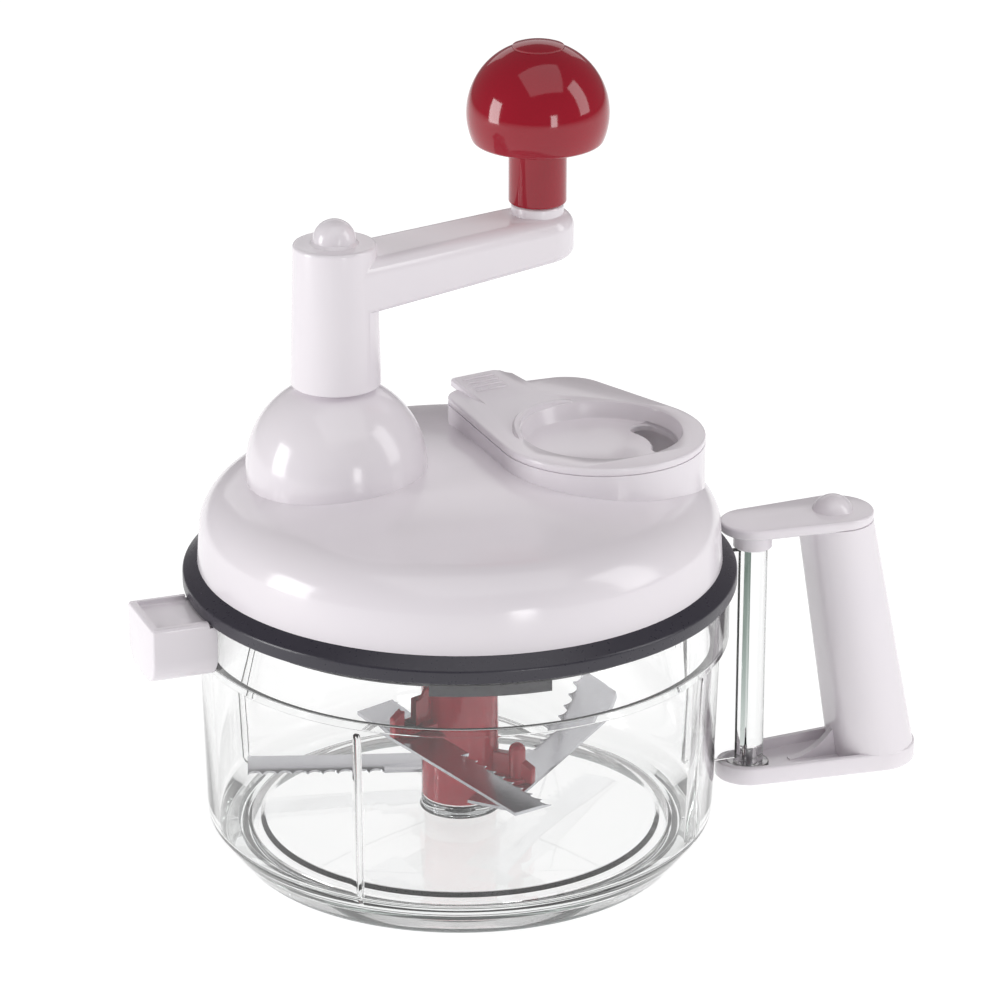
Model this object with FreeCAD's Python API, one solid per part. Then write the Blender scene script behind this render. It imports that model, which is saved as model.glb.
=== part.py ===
import FreeCAD, Part
import math
import os

# Hand cranked food chopper, in millimetres, +Z up.
# The origin is on the blade axis, on the surface that the foot stands on.
# The side handle points along +X, the small side lug along -X.

V = FreeCAD.Vector
UP = V(0, 0, 1)
ORIGIN = V(0, 0, 0)

# Clearances and fits
RUN_FIT = 0.05
SLIP_GAP = 0.3
LOOSE_GAP = 0.5
CUT_OVER = 1.0

# Bowl: a clear moulding on a narrow foot, with a wider collar above a ledge
COLLAR_R = 82.8
COLLAR_T = 2.4
LEDGE_STEP = 4.3
WALL_LEAN = 1.6
FOOT_SET_IN = 7.3
FLOOR_EDGE = 7.5
FOOT_WALL = 3.4
FOOT_RAISE = 0.8
CORNER_Z = 12.6
FLOOR_Z = 10.0
FLOOR_T = 2.4
FLOOR_RISE = 1.9
WALL_T = 2.3
LEDGE_Z = 73.5
RIM_Z = 88.6
COLLAR_BORE_R = COLLAR_R - COLLAR_T
WALL_TOP_R = COLLAR_R - LEDGE_STEP
CORNER_R = WALL_TOP_R - WALL_LEAN
FOOT_R = CORNER_R - FOOT_SET_IN
FLOOR_RISE_R = FOOT_R - FLOOR_EDGE
BOSS_R = 12.1
BOSS_H = 3.5
RIB_COUNT = 4
RIB_FIRST_ANGLE = -133.0
RIB_DEPTH = 2.5
RIB_T = 2.4
RIB_TOP_GAP = 3.0

# Foot ring of soft plastic
FOOT_RING_T = 2.0
FOOT_RING_H = 2.4

# Bayonet between the collar and the lid
LUG_COUNT = 4
BOWL_LUG_SPAN = 30.0
LID_LUG_SPAN = 26.0
LUG_SIDE_GAP = 1.5
LUG_T = 1.6
LUG_STEP_GAP = 0.4
SKIRT_GAP = 2.8
LUG_TIP_GAP = 0.4
LUG_ROOT_GAP = 0.6
SKIRT_R = COLLAR_BORE_R - SKIRT_GAP
LID_LUG_REACH = SKIRT_GAP - LUG_TIP_GAP
BOWL_LUG_REACH = SKIRT_GAP - LUG_ROOT_GAP

# Lid: a dark base with the gear train on it, under a white shell
SKIRT_T = 2.4
SKIRT_DROP = 7.5
PLATE_Z = 92.0
PLATE_T = 2.5
RING_OVERHANG = 2.2
RING_R = COLLAR_R + RING_OVERHANG
RING_LIP_T = 1.6
RING_LIP_Z = 88.2
RING_EDGE_Z = 92.4
SHELL_FOOT_Z = 95.5
SHELL_SET_IN = 4.6
SHELL_LEAN = 0.8
SHELL_BEND_IN = 4.4
SHELL_SHOULDER_IN = 13.6
SHELL_EDGE_R = RING_R - SHELL_SET_IN
SHELL_SIDE_R = SHELL_EDGE_R - SHELL_LEAN
SHELL_BEND_R = SHELL_SIDE_R - SHELL_BEND_IN
SHELL_SHOULDER_R = SHELL_SIDE_R - SHELL_SHOULDER_IN
SHELL_SIDE_Z = 107.5
SHELL_BEND_Z = 115.0
SHELL_SHOULDER_Z = 119.3
SHELL_CROWN_R = 40.0
SHELL_CROWN_Z = 123.1
SHELL_TOP_Z = 124.5
SHELL_T = 2.2
LOCATING_LIP_H = 2.5
LOCATING_LIP_T = 2.0
SEAL_T = 1.8

# Gear tower: a dome on the lid over the crank shaft
MODULE = 1.25
GEAR_TEETH = 48
PINION_TEETH = 12
PRESSURE_ANGLE = 25.0
TOOTH_BACKLASH = 0.25
ROOT_CLEARANCE = 0.25
GEAR_FACE = 7.0
GEAR_Z = 103.0
GEAR_HUB_R = 9.0
GEAR_WEB_T = 3.0
GEAR_RIM_T = 3.5
TOWER_ANGLE = 160.0
DOME_R = 27.7
DOME_CENTRE_Z = 124.7
DOME_TOP_Z = 150.8
BUSH_WALL = 2.0
BUSH_LENGTH = 12.0
LOWER_BUSH_LENGTH = 6.0
BUSH_SEAT_T = 2.2
BUSH_FLOOR_T = 0.8
SHAFT_R = 4.0
SHAFT_BOTTOM_Z = 95.0
SHAFT_TOP_Z = 184.0
GEAR_FLAT = 3.2
SNAP_RING_T = 1.0
SNAP_RING_R = 6.2

# Crank arm with its hub and knob
HUB_FOOT_R = 13.8
HUB_TOP_R = 12.6
HUB_TOP_Z = 195.5
HUB_RIM_CHAMFER = 0.8
CRANK_RADIUS = 70.0
CRANK_ANGLE = 9.0
ARM_ROOT_R = 12.4
ARM_END_R = 11.2
ARM_TOP_ROOT_Z = 191.3
ARM_TOP_END_Z = 194.5
ARM_ROOT_H = 16.7
ARM_END_H = 14.1
ARM_LOW_ROOT_Z = ARM_TOP_ROOT_Z - ARM_ROOT_H
ARM_LOW_END_Z = ARM_TOP_END_Z - ARM_END_H
ARM_TOP_ROUND = 5.0
ARM_LOW_ROUND = 2.4
ARM_BOSS_R = 8.0
ARM_BOSS_Z = 197.2
KNOB_R = 21.8
KNOB_CENTRE_Z = 226.0
KNOB_FLAT_DROP = 9.3
KNOB_EDGE_ROUND = 2.0
KNOB_NECK_ROUND = 0.8
KNOB_NECK_R = 8.9
KNOB_CAP_R = 7.9
KNOB_CAP_DEPTH = 3.0
KNOB_CAP_RAISE = 0.5
SPINDLE_R = 3.0
SPINDLE_HEAD_R = 5.2
SPINDLE_HEAD_H = 3.0
SPINDLE_RISE = 13.0
SPINDLE_TOP_Z = KNOB_CENTRE_Z + SPINDLE_RISE
SPINDLE_SEAT_Z = 183.5
CAP_R = 6.6
CAP_H = 7.4
CAP_PLUG_H = 2.5
SCREW_R = 1.6
SCREW_HEAD_R = 3.2
SCREW_HEAD_H = 1.8
CRANK_SCREW_LENGTH = 12.0

# Feed chute and its stopper with a funnel
CHUTE_NEAR_X = 11.5
CHUTE_EDGE_GAP = 4.1
CHUTE_R = (SHELL_SIDE_R - CHUTE_EDGE_GAP - CHUTE_NEAR_X) / 2
CHUTE_X = CHUTE_NEAR_X + CHUTE_R
CHUTE_Y = -6.5
CHUTE_LEFT_IN = 6.0
CHUTE_LEFT_OUT = 5.0
CHUTE_LEFT_X = CHUTE_NEAR_X + CHUTE_LEFT_IN
CHUTE_LEFT_Y = CHUTE_R + CHUTE_LEFT_OUT
CHUTE_LEFT_R = 7.5
CHUTE_BACK_SHIFT = 3.0
CHUTE_BACK_IN = 1.5
CHUTE_BACK_X = CHUTE_X + CHUTE_BACK_SHIFT
CHUTE_BACK_Y = CHUTE_R - CHUTE_BACK_IN
CHUTE_BACK_R = 14.0
CHUTE_RIM_Z = 129.3
CHUTE_WALL = 2.0
STOPPER_PLATE_T = 2.5
STOPPER_SKIRT_H = 17.0
STOPPER_WALL = 1.8
STOPPER_GAP = 0.35
FUNNEL_MARGIN = 6.8
FUNNEL_DRAFT = 1.2
FUNNEL_R = CHUTE_R - FUNNEL_MARGIN
FUNNEL_FLOOR_R = FUNNEL_R - FUNNEL_DRAFT
FUNNEL_DEPTH = 5.5
FUNNEL_FLOOR_T = 2.0
FUNNEL_SHIFT = 1.1
FUNNEL_X = CHUTE_X + FUNNEL_SHIFT
FUNNEL_Y = -4.3
SLOT_IN = 5.2
SLOT_PATH_R = FUNNEL_R - SLOT_IN
SLOT_WIDTH = 8.8
SLOT_TURN = 26.0
LIP_T = 2.2
LIP_H = 2.2
LIP_FIRST_ANGLE = 95.0
LIP_LAST_ANGLE = 172.0
TAB_WIDTH = 22.5
TAB_LENGTH = 20.0
TAB_TIP_IN = 2.9
TAB_TIP_OUT = 10.8
TAB_TIP_X = CHUTE_NEAR_X + TAB_TIP_IN
TAB_TIP_Y = CHUTE_LEFT_Y + TAB_TIP_OUT
TAB_RISE = 2.4
TAB_T = 2.4
TAB_RAMP = 6.0
TAB_TURN = 11.0
TAB_RIB_COUNT = 4
TAB_RIB_PITCH = 2.8
TAB_RIB_R = 0.5

# Blade rotor
ROTOR_R = 12.0
ROTOR_BORE_TOP_Z = 61.0
PIN_R = 3.0
COUPLING_DEPTH = 8.0
COUPLING_BORE_R = 8.6
DOG_ROOT_R = 4.5
DOG_SPAN = 50.0
DOG_BURY = 1.0
TONGUE_T = 5.0
TONGUE_GAP = 0.6
JOURNAL_R = 5.2
PINION_TOP_PIN_R = 3.0
PINION_TOP_PIN_H = 6.0
BLADE_FIRST_ANGLE = 164.0
BLADE_STEP_ANGLE = -120.0
BLADE_HEIGHTS = (17.0, 22.4, 39.5)
BLADE_NAMES = ("blade_low", "blade_middle", "blade_high")
BLADE_T = 1.0
BLADE_WIDTH = 13.0
BLADE_TAIL = 20.0
BLADE_GAP = 0.3
BLADE_WALL_GAP = 0.95
BLADE_REACH = CORNER_R - WALL_T - RIB_DEPTH - BLADE_WALL_GAP
BLADE_TIP = math.sqrt(BLADE_REACH ** 2 - (ROTOR_R + BLADE_GAP + BLADE_WIDTH) ** 2)
SCALLOP_PITCH = 4.8
SCALLOP_START = 23.0
SCALLOP_DEPTH = 2.1
BEVEL_WIDTH = 3.2
BEVEL_EDGE_T = 0.3
PEG_R = 2.6
PEG_H = 12.9
PEG_OUT = 0.8
PAD_R = 4.4
PAD_T = 1.6
WEB_T = 3.0
WEB_H = 9.0
WEB_END_H = 5.0
RIVET_STEM_R = 1.6
RIVET_HEAD_R = 3.0
RIVET_HEAD_T = 1.0

# Handle on the +X side
COLUMN_OUT = 14.8
COLUMN_X = COLLAR_R + COLUMN_OUT
COLUMN_R = 4.8
COLUMN_BORE_R = 1.7
COLUMN_FOOT_R = 6.7
COLUMN_FOOT_T = 2.0
COLUMN_TOP_Z = 89.6
FIN_T = 3.0
CUP_R = 10.5
GRIP_TOP_OUT = 28.0
GRIP_TOP_X = COLUMN_X + GRIP_TOP_OUT
GRIP_TOP_R = 12.3
GRIP_FOOT_OUT = 42.7
GRIP_FOOT_X = COLUMN_X + GRIP_FOOT_OUT
GRIP_FOOT_R = 14.2
GRIP_FLAT = 0.88
ARM_FLOOR_Z = 6.3
ARM_FLOOR_T = 2.5
ARM_RIM_H = 5.9
ARM_RIM_T = 2.0
PLATE_TOP_Z = 93.2
HANDLE_PLATE_T = 3.3
PLATE_COLLAR_T = 1.3
PLATE_COLLAR_H = 5.5
PLATE_ROUND = 0.9
GUSSET_T = 2.5
GUSSET_H = 12.0
GUSSET_L = 12.0
TIE_R = 2.0
TIE_HEAD_R = 3.6
TIE_HEAD_T = 2.0
SCREW_CAP_R = 6.5
SCREW_CAP_H = 4.7
SCREW_CAP_SHIFT = 0.8
COLUMN_SCREW_LENGTH = 8.0

# Lug on the -X side
SIDE_LUG_OUT = 19.5
SIDE_LUG_X = COLLAR_R + SIDE_LUG_OUT
SIDE_LUG_HALF = 13.0
SIDE_LUG_TOP_Z = 89.3
SIDE_LUG_LOW_Z = 72.5
SIDE_LUG_ROUND = 8.0
SIDE_LUG_DISH = 1.6
SIDE_LUG_RIM = 2.2
STUB_HALF = 8.0
STUB_REACH = 11.0
STUB_T = 5.0

# Screws that hold the lid base to the shell
BASE_SCREW_IN = 7.6
BASE_SCREW_R = SHELL_SIDE_R - BASE_SCREW_IN
BASE_SCREW_ANGLES = (90.0, 150.0, 210.0, 270.0)
BASE_BOSS_R = 3.5
BASE_SCREW_LENGTH = 12.0

# Places that follow from the sizes above
GEAR_PITCH_R = MODULE * GEAR_TEETH / 2
PINION_PITCH_R = MODULE * PINION_TEETH / 2
TOWER_DISTANCE = GEAR_PITCH_R + PINION_PITCH_R
TOWER_X = TOWER_DISTANCE * math.cos(math.radians(TOWER_ANGLE))
TOWER_Y = TOWER_DISTANCE * math.sin(math.radians(TOWER_ANGLE))
KNOB_X = TOWER_X + CRANK_RADIUS * math.cos(math.radians(CRANK_ANGLE))
KNOB_Y = TOWER_Y + CRANK_RADIUS * math.sin(math.radians(CRANK_ANGLE))
PLATE_TOP = PLATE_Z + PLATE_T
BOSS_Z = FLOOR_Z + FLOOR_RISE + BOSS_H
ROTOR_FOOT_Z = BOSS_Z + SLIP_GAP
ROTOR_TOP_Z = PLATE_Z - LOOSE_GAP
SKIRT_FOOT_Z = PLATE_Z - SKIRT_DROP
LID_LUG_TOP_Z = SKIRT_FOOT_Z + LUG_T
BOWL_LUG_Z = LID_LUG_TOP_Z + LUG_STEP_GAP
GEAR_TOP_Z = GEAR_Z + GEAR_FACE
BUSH_R = SHAFT_R + RUN_FIT + BUSH_WALL
HUB_FOOT_Z = DOME_TOP_Z + SLIP_GAP
STOPPER_TOP_Z = CHUTE_RIM_Z + STOPPER_PLATE_T
ARM_FLOOR_TOP = ARM_FLOOR_Z + ARM_FLOOR_T
HANDLE_PLATE_Z = PLATE_TOP_Z - HANDLE_PLATE_T


def cylinder(radius, low, high, x=0.0, y=0.0):
    return Part.makeCylinder(radius, high - low, V(x, y, low), UP)


def tube(outer, inner, low, high, x=0.0, y=0.0):
    bore = cylinder(inner, low - CUT_OVER, high + CUT_OVER, x, y)
    return cylinder(outer, low, high, x, y).cut(bore)


def cone(low_radius, high_radius, low, high, x=0.0, y=0.0):
    return Part.makeCone(low_radius, high_radius, high - low, V(x, y, low), UP)


def box(x0, x1, y0, y1, z0, z1):
    return Part.makeBox(x1 - x0, y1 - y0, z1 - z0, V(x0, y0, z0))


def polygon(points):
    return Part.makePolygon(points + [points[0]])


def turned(points):
    """Revolve a closed outline of (radius, height) pairs about the Z axis."""
    outline = polygon([V(r, 0, z) for r, z in points])
    return Part.Face(outline).revolve(ORIGIN, UP, 360)


def turned_edges(edges):
    """Revolve a closed outline of edges in the XZ plane about the Z axis."""
    outline = Part.Wire(Part.__sortEdges__(edges))
    return Part.Face(outline).revolve(ORIGIN, UP, 360)


def line(r0, z0, r1, z1):
    return Part.makeLine(V(r0, 0, z0), V(r1, 0, z1))


def arc(r0, z0, r1, z1, r2, z2):
    return Part.Arc(V(r0, 0, z0), V(r1, 0, z1), V(r2, 0, z2)).toShape()


def fused(shapes):
    whole = shapes[0]
    if len(shapes) > 1:
        whole = whole.fuse(shapes[1:])
    return whole.removeSplitter()


def turned_about(shape, angle, x=0.0, y=0.0):
    copy = shape.copy()
    copy.rotate(V(x, y, 0), UP, angle)
    return copy


def moved(shape, x, y, z=0.0):
    copy = shape.copy()
    copy.translate(V(x, y, z))
    return copy


def sector(outer, inner, first, last, low, high):
    """A piece of a ring between two angles in degrees."""
    profile = polygon([V(inner, 0, low), V(outer, 0, low), V(outer, 0, high), V(inner, 0, high)])
    piece = Part.Face(profile).revolve(ORIGIN, UP, last - first)
    return turned_about(piece, first)


def belt(circles, low, high):
    """A prism whose outline is a belt round circles (x, y, radius), counter-clockwise."""
    normals = []
    count = len(circles)
    for i in range(count):
        x0, y0, r0 = circles[i]
        x1, y1, r1 = circles[(i + 1) % count]
        span = math.hypot(x1 - x0, y1 - y0)
        lean = math.asin((r0 - r1) / span)
        normals.append(math.atan2(y1 - y0, x1 - x0) - math.pi / 2 + lean)
    edges = []
    for i in range(count):
        x0, y0, r0 = circles[i]
        x1, y1, r1 = circles[(i + 1) % count]
        arrive = normals[i - 1]
        leave = normals[i]
        while leave < arrive:
            leave += 2 * math.pi
        middle = (arrive + leave) / 2
        on = [V(x0 + r0 * math.cos(a), y0 + r0 * math.sin(a), low) for a in (arrive, middle, leave)]
        edges.append(Part.Arc(on[0], on[1], on[2]).toShape())
        far = V(x1 + r1 * math.cos(leave), y1 + r1 * math.sin(leave), low)
        edges.append(Part.makeLine(on[2], far))
    return Part.Face(Part.Wire(edges)).extrude(V(0, 0, high - low))


def screw(radius, head_radius, head_height, length, x, y, head_z, point_up):
    """A pan head screw whose head seats at head_z and whose shank points up or down."""
    way = 1 if point_up else -1
    shank = cylinder(radius, min(head_z, head_z + way * length), max(head_z, head_z + way * length), x, y)
    head = cylinder(head_radius, min(head_z, head_z - way * head_height),
                    max(head_z, head_z - way * head_height), x, y)
    return shank.fuse(head).removeSplitter()


# Bowl

def wall_radius(z):
    """Outer radius of the bowl wall at a height between its corner and its ledge."""
    return CORNER_R + (WALL_TOP_R - CORNER_R) * (z - CORNER_Z) / (LEDGE_Z - CORNER_Z)


def bowl_shell():
    foot_in = FOOT_R - FOOT_WALL
    floor_under = FLOOR_Z - FLOOR_T
    outside = [(0, floor_under + FLOOR_RISE), (BOSS_R, floor_under + FLOOR_RISE),
               (FLOOR_RISE_R, floor_under), (foot_in, floor_under), (foot_in, FOOT_RAISE), (FOOT_R, FOOT_RAISE),
               (CORNER_R, CORNER_Z), (WALL_TOP_R, LEDGE_Z), (COLLAR_R, LEDGE_Z), (COLLAR_R, RIM_Z)]
    step = LEDGE_Z + COLLAR_T
    inside = [(COLLAR_BORE_R, RIM_Z), (COLLAR_BORE_R, step), (WALL_TOP_R - WALL_T, step),
              (WALL_TOP_R - WALL_T, LEDGE_Z), (CORNER_R - WALL_T, CORNER_Z), (FOOT_R, FLOOR_Z),
              (FLOOR_RISE_R, FLOOR_Z), (BOSS_R, FLOOR_Z + FLOOR_RISE), (BOSS_R, BOSS_Z), (0, BOSS_Z)]
    return turned(outside + inside)


def bowl_ribs():
    """Upright ribs inside the wall that turn the food back into the blades."""
    ribs = []
    top = LEDGE_Z - RIB_TOP_GAP
    low_in = CORNER_R - WALL_T - RIB_DEPTH
    high_in = wall_radius(top) - WALL_T - RIB_DEPTH
    side = [V(low_in, 0, FLOOR_Z), V(CORNER_R - WALL_T / 2, 0, CORNER_Z + WALL_T),
            V(wall_radius(top) - WALL_T / 2, 0, top), V(high_in + RIB_DEPTH / 2, 0, top),
            V(high_in, 0, top - RIB_DEPTH)]
    rib = Part.Face(polygon(side)).extrude(V(0, RIB_T, 0))
    rib = moved(rib, 0, -RIB_T / 2)
    for i in range(RIB_COUNT):
        ribs.append(turned_about(rib, RIB_FIRST_ANGLE + i * 360 / RIB_COUNT))
    return ribs


def bowl_lugs():
    lugs = []
    for i in range(LUG_COUNT):
        centre = RIB_FIRST_ANGLE + i * 360 / LUG_COUNT
        first = centre - BOWL_LUG_SPAN / 2
        lugs.append(sector(COLLAR_BORE_R + COLLAR_T / 2, COLLAR_BORE_R - BOWL_LUG_REACH, first,
                           first + BOWL_LUG_SPAN, BOWL_LUG_Z, BOWL_LUG_Z + LUG_T))
    return lugs


def bowl_column():
    """Clear column and fin that carry the handle, moulded with the bowl."""
    foot = cylinder(COLUMN_FOOT_R, ARM_FLOOR_TOP, ARM_FLOOR_TOP + COLUMN_FOOT_T, COLUMN_X)
    column = cylinder(COLUMN_R, ARM_FLOOR_TOP, COLUMN_TOP_Z - SLIP_GAP, COLUMN_X)
    fin_top = HANDLE_PLATE_Z - PLATE_COLLAR_H - LOOSE_GAP
    fin_low = ARM_FLOOR_Z + ARM_RIM_H + LOOSE_GAP
    fin = box(WALL_TOP_R - WALL_T / 2, COLUMN_X, -FIN_T / 2, FIN_T / 2, fin_low, fin_top)
    bore_top = ARM_FLOOR_Z + ARM_FLOOR_T / 2 + COLUMN_SCREW_LENGTH + LOOSE_GAP
    bore = cylinder(COLUMN_BORE_R, ARM_FLOOR_TOP - CUT_OVER, bore_top, COLUMN_X)
    inside_collar = cylinder(COLLAR_R - COLLAR_T / 2, LEDGE_Z + COLLAR_T / 2, RIM_Z)
    return fused([foot, column, fin]).cut([bore, inside_collar])


def bowl_stub():
    """Clear stub on the collar that the white side lug is pushed onto."""
    middle = (LEDGE_Z + SIDE_LUG_TOP_Z) / 2
    stub = box(-(COLLAR_R + STUB_REACH), -(COLLAR_R - COLLAR_T / 2), -STUB_HALF, STUB_HALF,
               middle - STUB_T / 2, middle + STUB_T / 2)
    return stub


def make_bowl():
    whole = fused([bowl_shell(), bowl_column(), bowl_stub()] + bowl_ribs() + bowl_lugs())
    groove_r = FOOT_R - FOOT_WALL / 2
    groove = tube(groove_r + FOOT_RING_T / 2, groove_r - FOOT_RING_T / 2, 0, FOOT_RING_H)
    pin_hole = cylinder(PIN_R, FLOOR_Z + FLOOR_RISE - FLOOR_T / 2, BOSS_Z + CUT_OVER)
    return whole.cut([groove, pin_hole])


def make_foot_ring():
    centre = FOOT_R - FOOT_WALL / 2
    return tube(centre + FOOT_RING_T / 2, centre - FOOT_RING_T / 2, 0, FOOT_RING_H)


def make_centre_pin():
    top = ROTOR_BORE_TOP_Z - SLIP_GAP
    pin = cylinder(PIN_R, FLOOR_Z + FLOOR_RISE - FLOOR_T / 2, top)
    return pin.makeChamfer(PIN_R / 4, [pin.Edges[0]])


def make_side_lug():
    root = COLLAR_R + SLIP_GAP
    block = box(-SIDE_LUG_X, -(COLLAR_R - COLLAR_T), -SIDE_LUG_HALF, SIDE_LUG_HALF, SIDE_LUG_LOW_Z, SIDE_LUG_TOP_Z)
    low_edges = [e for e in block.Edges
                 if abs(e.CenterOfMass.z - SIDE_LUG_LOW_Z) < RUN_FIT and abs(e.CenterOfMass.y) > SIDE_LUG_HALF / 2]
    block = block.makeFillet(SIDE_LUG_ROUND, low_edges)
    dish = box(-(SIDE_LUG_X - SIDE_LUG_RIM), 0, -(SIDE_LUG_HALF - SIDE_LUG_RIM), SIDE_LUG_HALF - SIDE_LUG_RIM,
               SIDE_LUG_TOP_Z - SIDE_LUG_DISH, SIDE_LUG_TOP_Z + CUT_OVER)
    collar = cylinder(root, SIDE_LUG_LOW_Z - CUT_OVER, SIDE_LUG_TOP_Z + CUT_OVER)
    ring_way = cylinder(RING_R + LOOSE_GAP, RING_LIP_Z - LOOSE_GAP, SIDE_LUG_TOP_Z + CUT_OVER)
    middle = (LEDGE_Z + SIDE_LUG_TOP_Z) / 2
    pocket = box(-(COLLAR_R + STUB_REACH + SLIP_GAP), 0, -(STUB_HALF + RUN_FIT), STUB_HALF + RUN_FIT,
                 middle - STUB_T / 2 - RUN_FIT, middle + STUB_T / 2 + RUN_FIT)
    return block.cut([dish, collar, ring_way, pocket])


# Handle

def grip_axis_x(z):
    """X of the leaning grip's axis at a height."""
    share = (z - ARM_FLOOR_TOP) / (HANDLE_PLATE_Z - ARM_FLOOR_TOP)
    return GRIP_FOOT_X + (GRIP_TOP_X - GRIP_FOOT_X) * share


def grip_section(x, radius, z):
    """A circle cut flat on the side of the fingers."""
    flat = GRIP_FLAT * radius
    half = math.sqrt(radius * radius - flat * flat)
    round_side = Part.Arc(V(x - flat, -half, z), V(x + radius, 0, z), V(x - flat, half, z)).toShape()
    flat_side = Part.makeLine(V(x - flat, half, z), V(x - flat, -half, z))
    return Part.Wire([round_side, flat_side])


def tie_axis(radius, low, high):
    """A bar of the given radius along the leaning grip's axis."""
    lean = V(grip_axis_x(high) - grip_axis_x(low), 0, high - low)
    return Part.makeCylinder(radius, lean.Length, V(grip_axis_x(low), 0, low), lean)


def make_handle():
    foot = grip_section(GRIP_FOOT_X, GRIP_FOOT_R, ARM_FLOOR_TOP)
    top = grip_section(GRIP_TOP_X, GRIP_TOP_R, HANDLE_PLATE_Z)
    grip = Part.makeLoft([foot, top], True, True)
    outline = [(COLUMN_X, 0, CUP_R), (GRIP_FOOT_X, 0, GRIP_FOOT_R)]
    inner = [(COLUMN_X, 0, CUP_R - ARM_RIM_T), (GRIP_FOOT_X, 0, GRIP_FOOT_R - ARM_RIM_T)]
    arm = belt(outline, ARM_FLOOR_Z, ARM_FLOOR_Z + ARM_RIM_H)
    arm = arm.cut(belt(inner, ARM_FLOOR_TOP, ARM_FLOOR_Z + ARM_RIM_H + CUT_OVER))
    heel = GRIP_FOOT_X - GRIP_FLAT * GRIP_FOOT_R
    side = [V(heel - GUSSET_L, 0, ARM_FLOOR_TOP), V(heel + GUSSET_T, 0, ARM_FLOOR_TOP),
            V(grip_axis_x(ARM_FLOOR_TOP + GUSSET_H) - GRIP_FLAT * GRIP_FOOT_R + GUSSET_T / 2, 0,
              ARM_FLOOR_TOP + GUSSET_H)]
    gusset = moved(Part.Face(polygon(side)).extrude(V(0, GUSSET_T, 0)), 0, -GUSSET_T / 2)
    whole = fused([grip, arm, gusset])
    bore = tie_axis(TIE_R + RUN_FIT, ARM_FLOOR_TOP, HANDLE_PLATE_Z + CUT_OVER)
    screw_hole = cylinder(SCREW_R + RUN_FIT, ARM_FLOOR_Z - CUT_OVER, ARM_FLOOR_TOP + CUT_OVER, COLUMN_X)
    head_seat = cylinder(SCREW_HEAD_R + SLIP_GAP, ARM_FLOOR_Z - CUT_OVER,
                         ARM_FLOOR_Z + ARM_FLOOR_T / 2, COLUMN_X)
    foot_seat = cylinder(COLUMN_FOOT_R + SLIP_GAP, ARM_FLOOR_TOP, ARM_FLOOR_TOP + COLUMN_FOOT_T + CUT_OVER, COLUMN_X)
    return whole.cut([bore, screw_hole, head_seat, foot_seat])


def make_handle_plate():
    outline = [(COLUMN_X, 0, CUP_R), (GRIP_TOP_X, 0, GRIP_TOP_R)]
    plate = belt(outline, HANDLE_PLATE_Z, PLATE_TOP_Z)
    top_edges = [e for e in plate.Edges if abs(e.CenterOfMass.z - PLATE_TOP_Z) < RUN_FIT]
    plate = plate.makeFillet(PLATE_ROUND, top_edges)
    collar_r = COLUMN_R + RUN_FIT + PLATE_COLLAR_T
    collar = cylinder(collar_r, HANDLE_PLATE_Z - PLATE_COLLAR_H, HANDLE_PLATE_Z, COLUMN_X)
    whole = fused([plate, collar])
    socket = cylinder(COLUMN_R + RUN_FIT, HANDLE_PLATE_Z - PLATE_COLLAR_H - CUT_OVER, COLUMN_TOP_Z, COLUMN_X)
    tie_x = grip_axis_x(HANDLE_PLATE_Z)
    tie_hole = cylinder(TIE_R + LOOSE_GAP, HANDLE_PLATE_Z - CUT_OVER, PLATE_TOP_Z, tie_x)
    head_seat = cylinder(TIE_HEAD_R + SLIP_GAP, PLATE_TOP_Z - TIE_HEAD_T, PLATE_TOP_Z + CUT_OVER, tie_x)
    return whole.cut([socket, tie_hole, head_seat])


def make_handle_tie_screw():
    seat = PLATE_TOP_Z - TIE_HEAD_T
    shank = tie_axis(TIE_R, ARM_FLOOR_TOP + SLIP_GAP, seat)
    head = cylinder(TIE_HEAD_R, seat, PLATE_TOP_Z - SLIP_GAP, grip_axis_x(HANDLE_PLATE_Z))
    return shank.fuse(head).removeSplitter()


def make_handle_cap():
    ball = (SCREW_CAP_R * SCREW_CAP_R + SCREW_CAP_H * SCREW_CAP_H) / (2 * SCREW_CAP_H)
    x = grip_axis_x(HANDLE_PLATE_Z) - SCREW_CAP_SHIFT
    dome = Part.makeSphere(ball, V(x, 0, PLATE_TOP_Z + SCREW_CAP_H - ball), UP, 0, 90, 360)
    return dome.common(cylinder(SCREW_CAP_R, PLATE_TOP_Z, PLATE_TOP_Z + SCREW_CAP_H + CUT_OVER, x))


def make_handle_column_screw():
    return screw(SCREW_R, SCREW_HEAD_R, ARM_FLOOR_T / 2, COLUMN_SCREW_LENGTH, COLUMN_X, 0,
                 ARM_FLOOR_Z + ARM_FLOOR_T / 2, True)


# Lid

def chute_outline(inset):
    """Circles of the chute's belt outline, drawn in by inset."""
    return [(CHUTE_X, CHUTE_Y, CHUTE_R - inset), (CHUTE_BACK_X, CHUTE_BACK_Y, CHUTE_BACK_R - inset),
            (CHUTE_LEFT_X, CHUTE_LEFT_Y, CHUTE_LEFT_R - inset)]


def shell_profile(inset, foot_z):
    """Crowned lid section, drawn in by inset and closed along the axis."""
    bend = inset * math.cos(math.radians(45))
    edge_r = SHELL_EDGE_R - inset
    side_r = SHELL_SIDE_R - inset
    bend_r = SHELL_BEND_R - bend
    bend_z = SHELL_BEND_Z - bend
    shoulder_z = SHELL_SHOULDER_Z - inset
    crown_z = SHELL_CROWN_Z - inset
    top_z = SHELL_TOP_Z - inset
    crown = arc(0, top_z, SHELL_CROWN_R, crown_z, SHELL_SHOULDER_R, shoulder_z)
    shoulder = arc(SHELL_SHOULDER_R, shoulder_z, bend_r, bend_z, side_r, SHELL_SIDE_Z - inset)
    side = line(side_r, SHELL_SIDE_Z - inset, edge_r, foot_z)
    return turned_edges([crown, shoulder, side, line(edge_r, foot_z, 0, foot_z), line(0, foot_z, 0, top_z)])


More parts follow.
